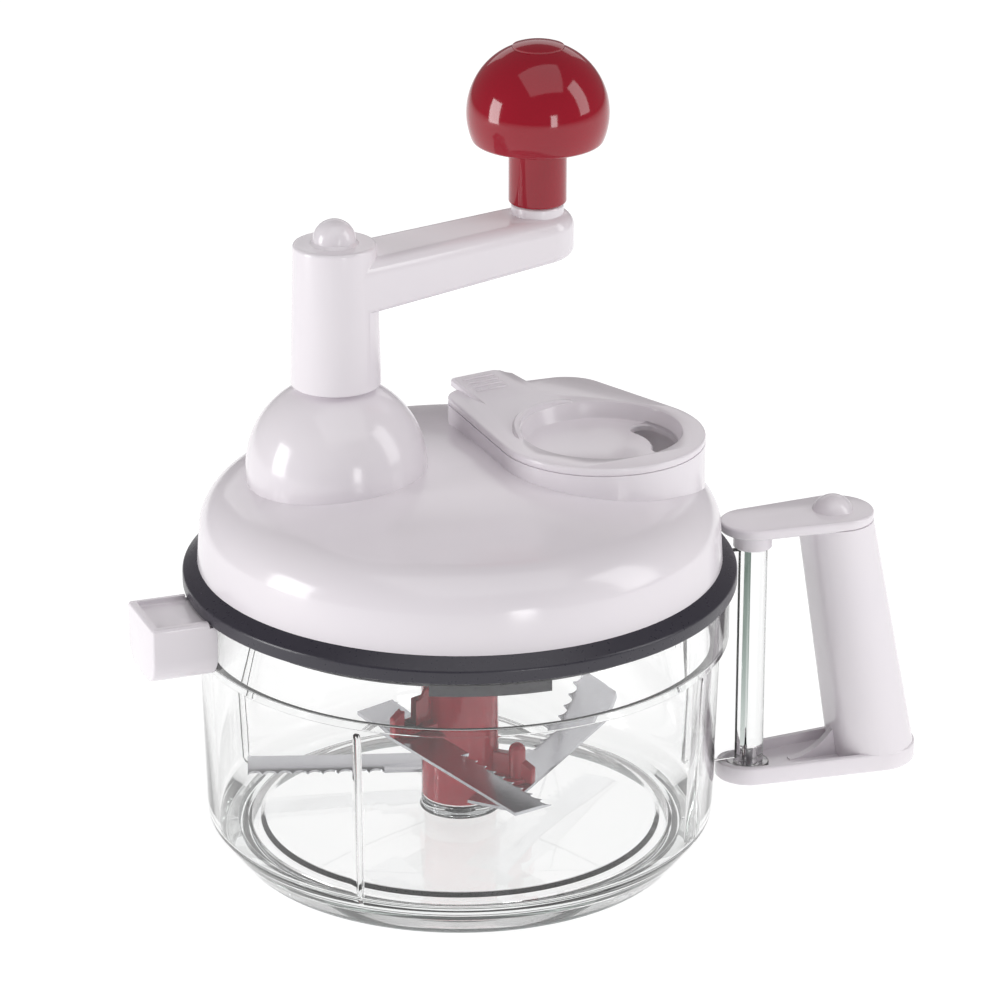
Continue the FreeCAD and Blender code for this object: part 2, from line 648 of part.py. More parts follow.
def dome(radius, top_z):
    ball = Part.makeSphere(radius, V(TOWER_X, TOWER_Y, DOME_CENTRE_Z))
    keep = cylinder(radius + CUT_OVER, SHELL_SIDE_Z + SHELL_T * 2, top_z, TOWER_X, TOWER_Y)
    return ball.common(keep)


def base_boss(grow, low, high, angle):
    """Screw boss that runs out into the lid's side wall, made larger all round by grow."""
    wall = SHELL_SIDE_R - SHELL_T / 2
    circles = [(BASE_SCREW_R, 0, BASE_BOSS_R + grow), (wall - SCREW_R, 0, SCREW_R + grow)]
    return turned_about(belt(circles, low, high), angle)


def shell_bosses():
    hole = cylinder(SCREW_R, PLATE_TOP - CUT_OVER, PLATE_TOP + BASE_SCREW_LENGTH, BASE_SCREW_R)
    return [base_boss(0, PLATE_TOP, SHELL_SIDE_Z, angle).cut(turned_about(hole, angle))
            for angle in BASE_SCREW_ANGLES]


def make_lid_shell():
    outer = fused([shell_profile(0, SHELL_FOOT_Z), dome(DOME_R, DOME_TOP_Z)])
    inner = fused([shell_profile(SHELL_T, SHELL_FOOT_Z - CUT_OVER), dome(DOME_R - SHELL_T, DOME_TOP_Z - SHELL_T)])
    hollow = outer.cut(inner)
    top_boss = cylinder(PINION_TOP_PIN_R + BUSH_WALL, GEAR_TOP_Z + SLIP_GAP + PINION_TOP_PIN_H / 2, SHELL_CROWN_Z)
    tower = cylinder(BUSH_R + BUSH_SEAT_T, DOME_TOP_Z - BUSH_LENGTH - BUSH_SEAT_T,
                     DOME_TOP_Z - SHELL_T / 2, TOWER_X, TOWER_Y)
    chute = belt(chute_outline(0), PLATE_TOP, CHUTE_RIM_Z)
    whole = fused([hollow, top_boss, tower, chute] + shell_bosses())
    feed = belt(chute_outline(CHUTE_WALL), PLATE_TOP - CUT_OVER, CHUTE_RIM_Z + CUT_OVER)
    bush_bore = cylinder(BUSH_R, DOME_TOP_Z - BUSH_LENGTH, DOME_TOP_Z + CUT_OVER, TOWER_X, TOWER_Y)
    shaft_bore = cylinder(SHAFT_R + LOOSE_GAP, DOME_TOP_Z - BUSH_LENGTH * 2, DOME_TOP_Z + CUT_OVER, TOWER_X, TOWER_Y)
    pin_bore = cylinder(PINION_TOP_PIN_R + RUN_FIT, GEAR_Z, GEAR_TOP_Z + SLIP_GAP + PINION_TOP_PIN_H + SLIP_GAP)
    return whole.cut([feed, bush_bore, shaft_bore, pin_bore])


def lid_lugs():
    lugs = []
    for i in range(LUG_COUNT):
        centre = RIB_FIRST_ANGLE + i * 360 / LUG_COUNT
        first = centre + BOWL_LUG_SPAN / 2 + LUG_SIDE_GAP
        lugs.append(sector(SKIRT_R + LID_LUG_REACH, SKIRT_R - SKIRT_T / 2, first, first + LID_LUG_SPAN,
                           SKIRT_FOOT_Z, LID_LUG_TOP_Z))
    return lugs


def lid_base_section():
    seat = SHELL_EDGE_R
    lip_out = SHELL_EDGE_R - SHELL_T - SLIP_GAP
    lip_in = lip_out - LOCATING_LIP_T
    ring_in = RING_R - RING_LIP_T
    under = RIM_Z + SLIP_GAP + SEAL_T + RUN_FIT
    return [(0, PLATE_Z), (SKIRT_R - SKIRT_T, PLATE_Z), (SKIRT_R - SKIRT_T, SKIRT_FOOT_Z), (SKIRT_R, SKIRT_FOOT_Z),
            (SKIRT_R, under), (ring_in, under), (ring_in, RING_LIP_Z), (RING_R, RING_LIP_Z),
            (RING_R, RING_EDGE_Z), (seat, SHELL_FOOT_Z), (lip_out, SHELL_FOOT_Z),
            (lip_out, SHELL_FOOT_Z + LOCATING_LIP_H), (lip_in, SHELL_FOOT_Z + LOCATING_LIP_H),
            (lip_in, PLATE_TOP), (0, PLATE_TOP)]


def make_lid_base():
    bearing = cylinder(JOURNAL_R + RUN_FIT + BUSH_WALL, PLATE_Z, GEAR_Z - LOOSE_GAP - SLIP_GAP)
    bush_top = PLATE_Z + LOWER_BUSH_LENGTH
    bush_seat = cylinder(BUSH_R + BUSH_SEAT_T, PLATE_Z, bush_top, TOWER_X, TOWER_Y)
    whole = fused([turned(lid_base_section()), bearing, bush_seat] + lid_lugs())
    journal = cylinder(JOURNAL_R + RUN_FIT, PLATE_Z - CUT_OVER, GEAR_Z)
    bush_hole = cylinder(BUSH_R, PLATE_Z + BUSH_FLOOR_T, bush_top + CUT_OVER, TOWER_X, TOWER_Y)
    feed = belt(chute_outline(CHUTE_WALL), PLATE_Z - CUT_OVER, PLATE_TOP + CUT_OVER)
    lip_way = belt(chute_outline(-SLIP_GAP), PLATE_TOP, SHELL_FOOT_Z + LOCATING_LIP_H + CUT_OVER)
    cuts = [journal, bush_hole, feed, lip_way]
    for angle in BASE_SCREW_ANGLES:
        x = BASE_SCREW_R * math.cos(math.radians(angle))
        y = BASE_SCREW_R * math.sin(math.radians(angle))
        cuts.append(cylinder(SCREW_R + RUN_FIT, PLATE_Z - CUT_OVER, PLATE_TOP + CUT_OVER, x, y))
        cuts.append(base_boss(SLIP_GAP, PLATE_TOP, SHELL_FOOT_Z + LOCATING_LIP_H + CUT_OVER, angle))
    return whole.cut(cuts)


def make_base_screws():
    screws = []
    for angle in BASE_SCREW_ANGLES:
        x = BASE_SCREW_R * math.cos(math.radians(angle))
        y = BASE_SCREW_R * math.sin(math.radians(angle))
        screws.append(screw(SCREW_R, BASE_BOSS_R * 3 / 4, SCREW_HEAD_H, BASE_SCREW_LENGTH, x, y, PLATE_Z, True))
    return Part.makeCompound(screws)


def make_rim_seal():
    return tube(RING_R - RING_LIP_T - SLIP_GAP, SKIRT_R + LID_LUG_REACH - SLIP_GAP,
                RIM_Z + SLIP_GAP, RIM_Z + SLIP_GAP + SEAL_T)


def make_upper_bush():
    return tube(BUSH_R, SHAFT_R + RUN_FIT, DOME_TOP_Z - BUSH_LENGTH, DOME_TOP_Z, TOWER_X, TOWER_Y)


def make_lower_bush():
    low = PLATE_Z + BUSH_FLOOR_T
    whole = cylinder(BUSH_R, low, PLATE_Z + LOWER_BUSH_LENGTH, TOWER_X, TOWER_Y)
    bore = cylinder(SHAFT_R + RUN_FIT, SHAFT_BOTTOM_Z - SLIP_GAP, PLATE_Z + LOWER_BUSH_LENGTH + CUT_OVER,
                    TOWER_X, TOWER_Y)
    return whole.cut(bore)


# Gears

def gear_outline(teeth):
    """Involute tooth outline about the origin, with one tooth centred on +X."""
    pitch_r = MODULE * teeth / 2
    base_r = pitch_r * math.cos(math.radians(PRESSURE_ANGLE))
    tip_r = pitch_r + MODULE
    root_r = pitch_r - MODULE - ROOT_CLEARANCE
    start_r = max(base_r, root_r)
    half_at_pitch = (math.pi / 2 - TOOTH_BACKLASH / MODULE / 2) / teeth
    involute_at_pitch = math.tan(math.radians(PRESSURE_ANGLE)) - math.radians(PRESSURE_ANGLE)
    flank = []
    steps = 3
    for i in range(steps + 1):
        r = start_r + (tip_r - start_r) * i / steps
        roll = math.acos(base_r / r)
        flank.append((r, half_at_pitch + involute_at_pitch - (math.tan(roll) - roll)))
    if root_r < start_r:
        flank.insert(0, (root_r, flank[0][1]))
    points = []
    for tooth in range(teeth):
        middle = 2 * math.pi * tooth / teeth
        rise = [(r, middle - a) for r, a in flank]
        fall = [(r, middle + a) for r, a in reversed(flank)]
        points += [V(r * math.cos(a), r * math.sin(a), 0) for r, a in rise + fall]
    return polygon(points)


def toothed(teeth, low, high):
    return moved(Part.Face(gear_outline(teeth)).extrude(V(0, 0, high - low)), 0, 0, low)


def flatted_shaft(radius, low, high):
    """A round bar with one flat, for a hub that must turn with it."""
    return cylinder(radius, low, high).common(
        box(-radius * 2, GEAR_FLAT + (radius - SHAFT_R), -radius * 2, radius * 2, low, high))


def make_drive_gear():
    wheel = toothed(GEAR_TEETH, GEAR_Z, GEAR_TOP_Z)
    rim_r = GEAR_PITCH_R - MODULE * 2 - GEAR_RIM_T
    dish = tube(rim_r, GEAR_HUB_R, GEAR_Z + GEAR_WEB_T, GEAR_TOP_Z + CUT_OVER)
    bore = flatted_shaft(SHAFT_R + RUN_FIT, GEAR_Z - CUT_OVER, GEAR_TOP_Z + CUT_OVER)
    wheel = wheel.cut([dish, bore])
    mesh = TOWER_ANGLE + 180
    return moved(turned_about(wheel, mesh), TOWER_X, TOWER_Y)


def make_pinion():
    mesh = TOWER_ANGLE + 180.0 / PINION_TEETH
    teeth = turned_about(toothed(PINION_TEETH, GEAR_Z - LOOSE_GAP, GEAR_TOP_Z), mesh)
    journal = cylinder(JOURNAL_R, ROTOR_TOP_Z - SLIP_GAP, GEAR_Z - LOOSE_GAP)
    top_pin = cylinder(PINION_TOP_PIN_R, GEAR_TOP_Z, GEAR_TOP_Z + SLIP_GAP + PINION_TOP_PIN_H)
    reach = COUPLING_BORE_R - TONGUE_GAP
    tongue = box(-reach, reach, -TONGUE_T / 2, TONGUE_T / 2, ROTOR_TOP_Z - COUPLING_DEPTH + LOOSE_GAP,
                 ROTOR_TOP_Z - SLIP_GAP)
    tongue = tongue.common(cylinder(reach, PLATE_Z - COUPLING_DEPTH * 2, PLATE_Z))
    return fused([teeth, journal, top_pin, tongue])


# Crank

def make_crank_shaft():
    flatted = flatted_shaft(SHAFT_R, GEAR_Z, GEAR_TOP_Z)
    low = cylinder(SHAFT_R, SHAFT_BOTTOM_Z, GEAR_Z)
    high = cylinder(SHAFT_R, GEAR_TOP_Z, SHAFT_TOP_Z)
    screw_hole = cylinder(TIE_R, SHAFT_TOP_Z - CRANK_SCREW_LENGTH, SHAFT_TOP_Z + CUT_OVER)
    groove = tube(SHAFT_R + CUT_OVER, SHAFT_R - SNAP_RING_T / 2, GEAR_TOP_Z, GEAR_TOP_Z + SNAP_RING_T)
    bar = fused([low, flatted, high]).cut([screw_hole, groove])
    return moved(turned_about(bar, TOWER_ANGLE + 180), TOWER_X, TOWER_Y)


def make_snap_ring():
    """Open spring ring in the shaft's groove that holds the gear up to its step."""
    ring = tube(SNAP_RING_R, SHAFT_R - SNAP_RING_T / 2, GEAR_TOP_Z, GEAR_TOP_Z + SNAP_RING_T)
    mouth = box(0, SNAP_RING_R * 2, -SHAFT_R / 2, SHAFT_R / 2, GEAR_TOP_Z - CUT_OVER,
                GEAR_TOP_Z + SNAP_RING_T + CUT_OVER)
    return moved(ring.cut(mouth), TOWER_X, TOWER_Y)


def arm_bar():
    """Bar from the hub to the knob, seen from the side as a slim rising wedge."""
    plan = belt([(0, 0, ARM_ROOT_R), (CRANK_RADIUS, 0, ARM_END_R)], ARM_LOW_ROOT_Z - CUT_OVER,
                ARM_TOP_END_Z + CUT_OVER)
    far = CRANK_RADIUS + ARM_END_R + CUT_OVER
    rise = (ARM_TOP_END_Z - ARM_TOP_ROOT_Z) / CRANK_RADIUS
    climb = (ARM_LOW_END_Z - ARM_LOW_ROOT_Z) / CRANK_RADIUS
    near = ARM_ROOT_R / 8
    side = [V(near, 0, ARM_LOW_ROOT_Z + climb * near), V(far, 0, ARM_LOW_ROOT_Z + climb * far),
            V(far, 0, ARM_TOP_ROOT_Z + rise * far), V(near, 0, ARM_TOP_ROOT_Z + rise * near)]
    slab = Part.Face(polygon(side)).extrude(V(0, ARM_END_R * 4, 0))
    bar = plan.common(moved(slab, 0, -ARM_END_R * 2))
    long_edges = [e for e in bar.Edges if abs(e.tangentAt(e.FirstParameter).z) < math.sin(math.radians(30))
                  and e.CenterOfMass.x > ARM_ROOT_R]
    middle = (ARM_LOW_END_Z + ARM_TOP_ROOT_Z) / 2
    bar = bar.makeFillet(ARM_TOP_ROUND, [e for e in long_edges if e.CenterOfMass.z > middle])
    low_edges = [e for e in bar.Edges if abs(e.tangentAt(e.FirstParameter).z) < math.sin(math.radians(30))
                 and e.CenterOfMass.x > ARM_ROOT_R and e.CenterOfMass.z < ARM_LOW_END_Z + climb * ARM_END_R]
    return bar.makeFillet(ARM_LOW_ROUND, low_edges)


def make_crank_arm():
    hub = cone(HUB_FOOT_R, HUB_TOP_R, HUB_FOOT_Z, HUB_TOP_Z)
    hub = hub.makeChamfer(HUB_RIM_CHAMFER, [hub.Edges[0]])
    boss = cone(ARM_BOSS_R + HUB_RIM_CHAMFER, ARM_BOSS_R, ARM_LOW_END_Z + ARM_LOW_ROUND, ARM_BOSS_Z, CRANK_RADIUS)
    whole = fused([hub, arm_bar(), boss])
    shaft_hole = cylinder(SHAFT_R, HUB_FOOT_Z - CUT_OVER, SHAFT_TOP_Z)
    screw_hole = cylinder(TIE_R + RUN_FIT, SHAFT_TOP_Z - CUT_OVER, HUB_TOP_Z)
    well = cylinder(TIE_HEAD_R + LOOSE_GAP, SHAFT_TOP_Z + BUSH_WALL, HUB_TOP_Z + CUT_OVER)
    spindle_hole = cylinder(SPINDLE_R, SPINDLE_SEAT_Z, ARM_BOSS_Z + CUT_OVER, CRANK_RADIUS)
    whole = whole.cut([shaft_hole, screw_hole, well, spindle_hole])
    return moved(turned_about(whole, CRANK_ANGLE), TOWER_X, TOWER_Y)


def make_crank_screw():
    return screw(TIE_R, TIE_HEAD_R, TIE_HEAD_T, CRANK_SCREW_LENGTH, TOWER_X, TOWER_Y,
                 SHAFT_TOP_Z + BUSH_WALL, False)


def make_crank_cap():
    plug = cylinder(TIE_HEAD_R + LOOSE_GAP - RUN_FIT, HUB_TOP_Z - CAP_PLUG_H, HUB_TOP_Z, TOWER_X, TOWER_Y)
    neck_z = HUB_TOP_Z + CAP_H - CAP_R
    skirt = cone(CAP_R + HUB_RIM_CHAMFER, CAP_R, HUB_TOP_Z, neck_z, TOWER_X, TOWER_Y)
    ball = Part.makeSphere(CAP_R, V(TOWER_X, TOWER_Y, neck_z), UP, 0, 90, 360)
    return fused([plug, skirt, ball])


def make_knob_spindle():
    bar = cylinder(SPINDLE_R, SPINDLE_SEAT_Z, SPINDLE_TOP_Z, KNOB_X, KNOB_Y)
    head = cylinder(SPINDLE_HEAD_R, SPINDLE_TOP_Z - SPINDLE_HEAD_H, SPINDLE_TOP_Z, KNOB_X, KNOB_Y)
    return bar.fuse(head).removeSplitter()


def make_knob():
    neck_z = ARM_BOSS_Z + SLIP_GAP
    flat_z = KNOB_CENTRE_Z - KNOB_FLAT_DROP
    flat_r = math.sqrt(KNOB_R ** 2 - KNOB_FLAT_DROP ** 2)
    cap_z = KNOB_CENTRE_Z + math.sqrt(KNOB_R ** 2 - KNOB_CAP_R ** 2)
    bore = SPINDLE_R + RUN_FIT
    outline = [line(bore, neck_z, KNOB_NECK_R, neck_z), line(KNOB_NECK_R, neck_z, KNOB_NECK_R, flat_z),
               line(KNOB_NECK_R, flat_z, flat_r, flat_z),
               arc(flat_r, flat_z, KNOB_R, KNOB_CENTRE_Z, KNOB_CAP_R, cap_z),
               line(KNOB_CAP_R, cap_z, bore, cap_z), line(bore, cap_z, bore, neck_z)]
    body = turned_edges(outline)
    low_rim = [e for e in body.Edges if abs(e.CenterOfMass.z - flat_z) < RUN_FIT
               and abs(e.BoundBox.XMax - flat_r) < RUN_FIT]
    body = body.makeFillet(KNOB_EDGE_ROUND, low_rim)
    neck_foot = [e for e in body.Edges if abs(e.CenterOfMass.z - neck_z) < RUN_FIT
                 and abs(e.BoundBox.XMax - KNOB_NECK_R) < RUN_FIT]
    body = body.makeFillet(KNOB_NECK_ROUND, neck_foot)
    well = cylinder(SPINDLE_HEAD_R + SLIP_GAP, SPINDLE_TOP_Z - SPINDLE_HEAD_H - SLIP_GAP, cap_z)
    seat = cylinder(KNOB_CAP_R, cap_z - KNOB_CAP_DEPTH, cap_z + CUT_OVER)
    return moved(body.cut([well, seat]), KNOB_X, KNOB_Y)


def make_knob_cap():
    cap_z = KNOB_CENTRE_Z + math.sqrt(KNOB_R ** 2 - KNOB_CAP_R ** 2)
    ball = Part.makeSphere(KNOB_R + KNOB_CAP_RAISE, V(0, 0, KNOB_CENTRE_Z))
    plug = cylinder(KNOB_CAP_R - RUN_FIT, cap_z - KNOB_CAP_DEPTH, KNOB_CENTRE_Z + KNOB_R * 2)
    return moved(plug.common(ball), KNOB_X, KNOB_Y)


# Stopper with its funnel

def stopper_tab():
    """Thumb tab that rises past the chute, with grip ribs across it."""
    root_z = STOPPER_TOP_Z - TAB_T
    side = [V(0, -TAB_LENGTH, root_z), V(0, 0, root_z + TAB_RISE), V(0, 0, root_z + TAB_RISE + TAB_T),
            V(0, -TAB_LENGTH, root_z + TAB_T)]
    across = [V(0, 0, root_z), V(TAB_WIDTH, 0, root_z), V(TAB_WIDTH, 0, STOPPER_TOP_Z),
              V(TAB_WIDTH - TAB_RAMP, 0, STOPPER_TOP_Z + TAB_RISE), V(0, 0, STOPPER_TOP_Z + TAB_RISE)]
    ramped = Part.Face(polygon(across)).extrude(V(0, -TAB_LENGTH, 0))
    tab = Part.Face(polygon(side)).extrude(V(TAB_WIDTH, 0, 0)).common(ramped)
    slope = TAB_RISE / TAB_LENGTH
    rib_length = TAB_WIDTH - TAB_RAMP - TAB_RIB_PITCH * 2
    ribs = []
    for i in range(TAB_RIB_COUNT):
        y = -TAB_RIB_PITCH * (i + 1)
        z = STOPPER_TOP_Z + TAB_RISE + slope * y
        ribs.append(Part.makeCylinder(TAB_RIB_R, rib_length, V(TAB_RIB_PITCH, y, z), V(1, 0, 0)))
    whole = fused([tab] + ribs)
    return moved(turned_about(whole, TAB_TURN), TAB_TIP_X, TAB_TIP_Y)


def funnel_slot():
    """Pouring slot that follows the funnel's edge, with round ends."""
    high = STOPPER_TOP_Z
    low = CHUTE_RIM_Z - STOPPER_SKIRT_H - CUT_OVER
    half = SLOT_WIDTH / 2
    path = sector(SLOT_PATH_R + half, SLOT_PATH_R - half, -SLOT_TURN, SLOT_TURN, low, high)
    x = SLOT_PATH_R * math.cos(math.radians(SLOT_TURN))
    y = SLOT_PATH_R * math.sin(math.radians(SLOT_TURN))
    ends = [cylinder(half, low, high, x, -y), cylinder(half, low, high, x, y)]
    return moved(fused([path] + ends), FUNNEL_X, FUNNEL_Y)


def make_feed_stopper():
    plate = belt(chute_outline(0), CHUTE_RIM_Z, STOPPER_TOP_Z)
    skirt_inset = CHUTE_WALL + STOPPER_GAP
    skirt_foot = CHUTE_RIM_Z - STOPPER_SKIRT_H
    skirt = belt(chute_outline(skirt_inset), skirt_foot, CHUTE_RIM_Z)
    floor_z = STOPPER_TOP_Z - FUNNEL_DEPTH
    lip = sector(FUNNEL_R + LIP_T, FUNNEL_R, LIP_FIRST_ANGLE, LIP_LAST_ANGLE, STOPPER_TOP_Z - LIP_T,
                 STOPPER_TOP_Z + LIP_H)
    well = cone(FUNNEL_FLOOR_R, FUNNEL_R, floor_z, STOPPER_TOP_Z, FUNNEL_X, FUNNEL_Y)
    well_top = cylinder(FUNNEL_R, STOPPER_TOP_Z, STOPPER_TOP_Z + TAB_RISE * 4, FUNNEL_X, FUNNEL_Y)
    hollow = belt(chute_outline(skirt_inset + STOPPER_WALL), skirt_foot - CUT_OVER, floor_z - FUNNEL_FLOOR_T)
    whole = fused([plate, skirt, stopper_tab()]).cut([well, well_top, hollow])
    return fused([whole, moved(lip, FUNNEL_X, FUNNEL_Y)]).cut(funnel_slot())


# Blade rotor

def blade_middle():
    """Distance of the blade's middle line from the rotor axis."""
    return ROTOR_R + BLADE_GAP + BLADE_WIDTH / 2


def make_blade(height, angle):
    """A straight steel blade beside the hub, scalloped on its leading edge."""
    lead = -(ROTOR_R + BLADE_GAP)
    back = lead - BLADE_WIDTH
    count = round((BLADE_TIP - SCALLOP_START) / SCALLOP_PITCH)
    pitch = (BLADE_TIP - SCALLOP_START) / count
    edges = [Part.makeLine(V(-BLADE_TAIL, lead, 0), V(-BLADE_TAIL, back, 0)),
             Part.makeLine(V(-BLADE_TAIL, back, 0), V(BLADE_TIP, back, 0)),
             Part.makeLine(V(BLADE_TIP, back, 0), V(BLADE_TIP, lead, 0))]
    for i in range(count):
        right = BLADE_TIP - pitch * i
        edges.append(Part.Arc(V(right, lead, 0), V(right - pitch / 2, lead - SCALLOP_DEPTH, 0),
                              V(right - pitch, lead, 0)).toShape())
    edges.append(Part.makeLine(V(SCALLOP_START, lead, 0), V(-BLADE_TAIL, lead, 0)))
    sheet = Part.Face(Part.Wire(edges)).extrude(V(0, 0, BLADE_T))
    bevel = [V(0, lead + CUT_OVER, BEVEL_EDGE_T), V(0, lead, BEVEL_EDGE_T), V(0, lead - BEVEL_WIDTH, BLADE_T),
             V(0, lead + CUT_OVER, BLADE_T + CUT_OVER)]
    grind = moved(Part.Face(polygon(bevel)).extrude(V(BLADE_TIP, 0, 0)), SCALLOP_START, 0)
    hole = cylinder(RIVET_STEM_R, -CUT_OVER, BLADE_T + CUT_OVER, 0, -blade_middle())
    return turned_about(moved(sheet.cut([grind, hole]), 0, 0, height), angle)


def rotor_arm(height, angle):
    """Web, pad and round-topped peg that carry one blade."""
    z = height + BLADE_T
    y = -blade_middle()
    pad = cylinder(PAD_R, z, z + PAD_T, 0, y)
    bridge = box(-PAD_R, PAD_R, y, -ROTOR_R / 2, z, z + PAD_T)
    far = y - BLADE_WIDTH / 2
    fin = [V(0, -ROTOR_R / 2, z), V(0, far, z), V(0, far, z + WEB_END_H), V(0, y, z + WEB_H),
           V(0, -ROTOR_R / 2, z + WEB_H)]
    web = moved(Part.Face(polygon(fin)).extrude(V(WEB_T, 0, 0)), -WEB_T / 2, 0)
    peg_y = y - PEG_OUT
    peg = cylinder(PEG_R, z, z + PEG_H - PEG_R, 0, peg_y)
    tip = Part.makeSphere(PEG_R, V(0, peg_y, z + PEG_H - PEG_R))
    return turned_about(fused([pad, bridge, web, peg, tip]), angle)


def make_blade_hub():
    core = cylinder(ROTOR_R, ROTOR_FOOT_Z, ROTOR_TOP_Z)
    arms = [rotor_arm(BLADE_HEIGHTS[i], BLADE_FIRST_ANGLE + i * BLADE_STEP_ANGLE)
            for i in range(len(BLADE_HEIGHTS))]
    whole = fused([core] + arms)
    pin_bore = cylinder(PIN_R + RUN_FIT, ROTOR_FOOT_Z - CUT_OVER, ROTOR_BORE_TOP_Z)
    coupling = cylinder(COUPLING_BORE_R, ROTOR_TOP_Z - COUPLING_DEPTH, ROTOR_TOP_Z + CUT_OVER)
    whole = whole.cut([pin_bore, coupling])
    dogs = []
    for side in (90, 270):
        dogs.append(sector(COUPLING_BORE_R + DOG_BURY, DOG_ROOT_R, side - DOG_SPAN / 2, side + DOG_SPAN / 2,
                           ROTOR_TOP_Z - COUPLING_DEPTH, ROTOR_TOP_Z - CUT_OVER))
    return fused([whole] + dogs)


def make_blade_rivets():
    rivets = []
    for i in range(len(BLADE_HEIGHTS)):
        z = BLADE_HEIGHTS[i]
        stem = cylinder(RIVET_STEM_R, z, z + BLADE_T, 0, -blade_middle())
        head = cylinder(RIVET_HEAD_R, z - RIVET_HEAD_T, z, 0, -blade_middle())
        rivets.append(turned_about(fused([stem, head]), BLADE_FIRST_ANGLE + i * BLADE_STEP_ANGLE))
    return Part.makeCompound(rivets)


def main():
    nodes = {
        "bowl": make_bowl(),
        "foot_ring": make_foot_ring(),
        "centre_pin": make_centre_pin(),
        "side_lug": make_side_lug(),
        "handle": make_handle(),
        "handle_top_plate": make_handle_plate(),
        "handle_tie_screw": make_handle_tie_screw(),
        "handle_cap": make_handle_cap(),
        "handle_column_screw": make_handle_column_screw(),
        "rim_seal": make_rim_seal(),
        "lid_shell": make_lid_shell(),
        "lid_base": make_lid_base(),
        "lid_base_screws": make_base_screws(),
        "upper_bush": make_upper_bush(),
        "lower_bush": make_lower_bush(),
        "crank_shaft": make_crank_shaft(),
        "drive_gear": make_drive_gear(),
        "gear_snap_ring": make_snap_ring(),
        "pinion": make_pinion(),
        "crank_arm": make_crank_arm(),
        "crank_screw": make_crank_screw(),
        "crank_cap": make_crank_cap(),
        "knob_spindle": make_knob_spindle(),
        "knob": make_knob(),
        "knob_cap": make_knob_cap(),
        "feed_stopper": make_feed_stopper(),
        "blade_hub": make_blade_hub(),
        "blade_rivets": make_blade_rivets(),
    }
    for i in range(len(BLADE_NAMES)):
        nodes[BLADE_NAMES[i]] = make_blade(BLADE_HEIGHTS[i], BLADE_FIRST_ANGLE + i * BLADE_STEP_ANGLE)
    os.makedirs("parts", exist_ok=True)
    for name, shape in nodes.items():
        shape.exportStep("parts/" + name + ".step")
        print(name, "solids", len(shape.Solids), "valid", shape.isValid(), "volume", round(shape.Volume, 1))


main()
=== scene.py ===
# %% [markdown]
# # A cranked food chopper
# The frame of this model comes from CAD: every separate piece is a node that already sits in its place.
# This lesson dresses that frame. It builds finer meshes where a coarse CAD surface would show facets,
# gives each piece the plastic or steel that it is made of, and sets up a pale studio to look at it in.
# Sizes are written in millimetres, as on the drawing, and turned to metres in one place.

# %% Load the frame and keep its size
import math

import bmesh
import bpy
from mathutils import Matrix, Vector


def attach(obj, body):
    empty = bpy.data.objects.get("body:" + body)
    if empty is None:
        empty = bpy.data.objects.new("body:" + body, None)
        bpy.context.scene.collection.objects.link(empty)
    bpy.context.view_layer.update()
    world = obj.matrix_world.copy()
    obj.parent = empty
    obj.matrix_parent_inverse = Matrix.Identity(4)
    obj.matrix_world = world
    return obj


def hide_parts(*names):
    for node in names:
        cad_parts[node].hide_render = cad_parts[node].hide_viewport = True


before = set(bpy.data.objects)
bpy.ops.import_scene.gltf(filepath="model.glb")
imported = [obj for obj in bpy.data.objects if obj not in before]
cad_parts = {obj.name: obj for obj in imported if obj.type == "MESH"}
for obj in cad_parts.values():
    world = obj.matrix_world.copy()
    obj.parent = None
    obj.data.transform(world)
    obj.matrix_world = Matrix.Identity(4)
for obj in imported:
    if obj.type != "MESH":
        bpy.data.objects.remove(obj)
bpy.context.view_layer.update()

MM = 0.001

# %% [markdown]
# ## Helpers for meshes
# Most pieces of a moulded kitchen tool are either turned (bowl, lid, knob) or swept straight up from a
# flat outline (chute, handle arms). So one helper spins a section, one raises an outline, and one joins
# rings of points. Corners of a moulding are never sharp, so a section is given with a radius at each corner.

# %% Outlines
def rounded(corners, steps=6):
    """Closed outline from (x, y, corner radius) points, with each corner replaced by an arc."""
    points = []
    count = len(corners)
    for i in range(count):
        x, y, radius = corners[i]
        here = Vector((x, y))
        if radius == 0:
            points.append(here)
            continue
        before = (Vector(corners[i - 1][:2]) - here).normalized()
        after = (Vector(corners[(i + 1) % count][:2]) - here).normalized()
        half = before.angle(after) / 2
        start = here + before * (radius / math.tan(half))
        finish = here + after * (radius / math.tan(half))
        centre = here + (before + after).normalized() * (radius / math.sin(half))
        for k in range(steps + 1):
            share = k / steps
            spoke = (start - centre).lerp(finish - centre, share).normalized() * radius
            points.append(centre + spoke)
    return points


def belt(circles, steps=24):
    """Outline of a belt round circles (x, y, radius), counter-clockwise."""
    count = len(circles)
    leaves = []
    for i in range(count):
        x0, y0, r0 = circles[i]
        x1, y1, r1 = circles[(i + 1) % count]
        lean = math.asin((r0 - r1) / math.hypot(x1 - x0, y1 - y0))
        leaves.append(math.atan2(y1 - y0, x1 - x0) - math.pi / 2 + lean)
    points = []
    for i in range(count):
        x, y, radius = circles[i]
        turn = (leaves[i] - leaves[i - 1]) % (2 * math.pi)
        for k in range(steps + 1):
            angle = leaves[i - 1] + turn * k / steps
            points.append(Vector((x + radius * math.cos(angle), y + radius * math.sin(angle))))
    return points


def arc(x, y, radius, first, last, steps):
    """Points on an arc between two angles in radians."""
    angles = [first + (last - first) * k / steps for k in range(steps + 1)]
    return [(x + radius * math.cos(a), y + radius * math.sin(a)) for a in angles]


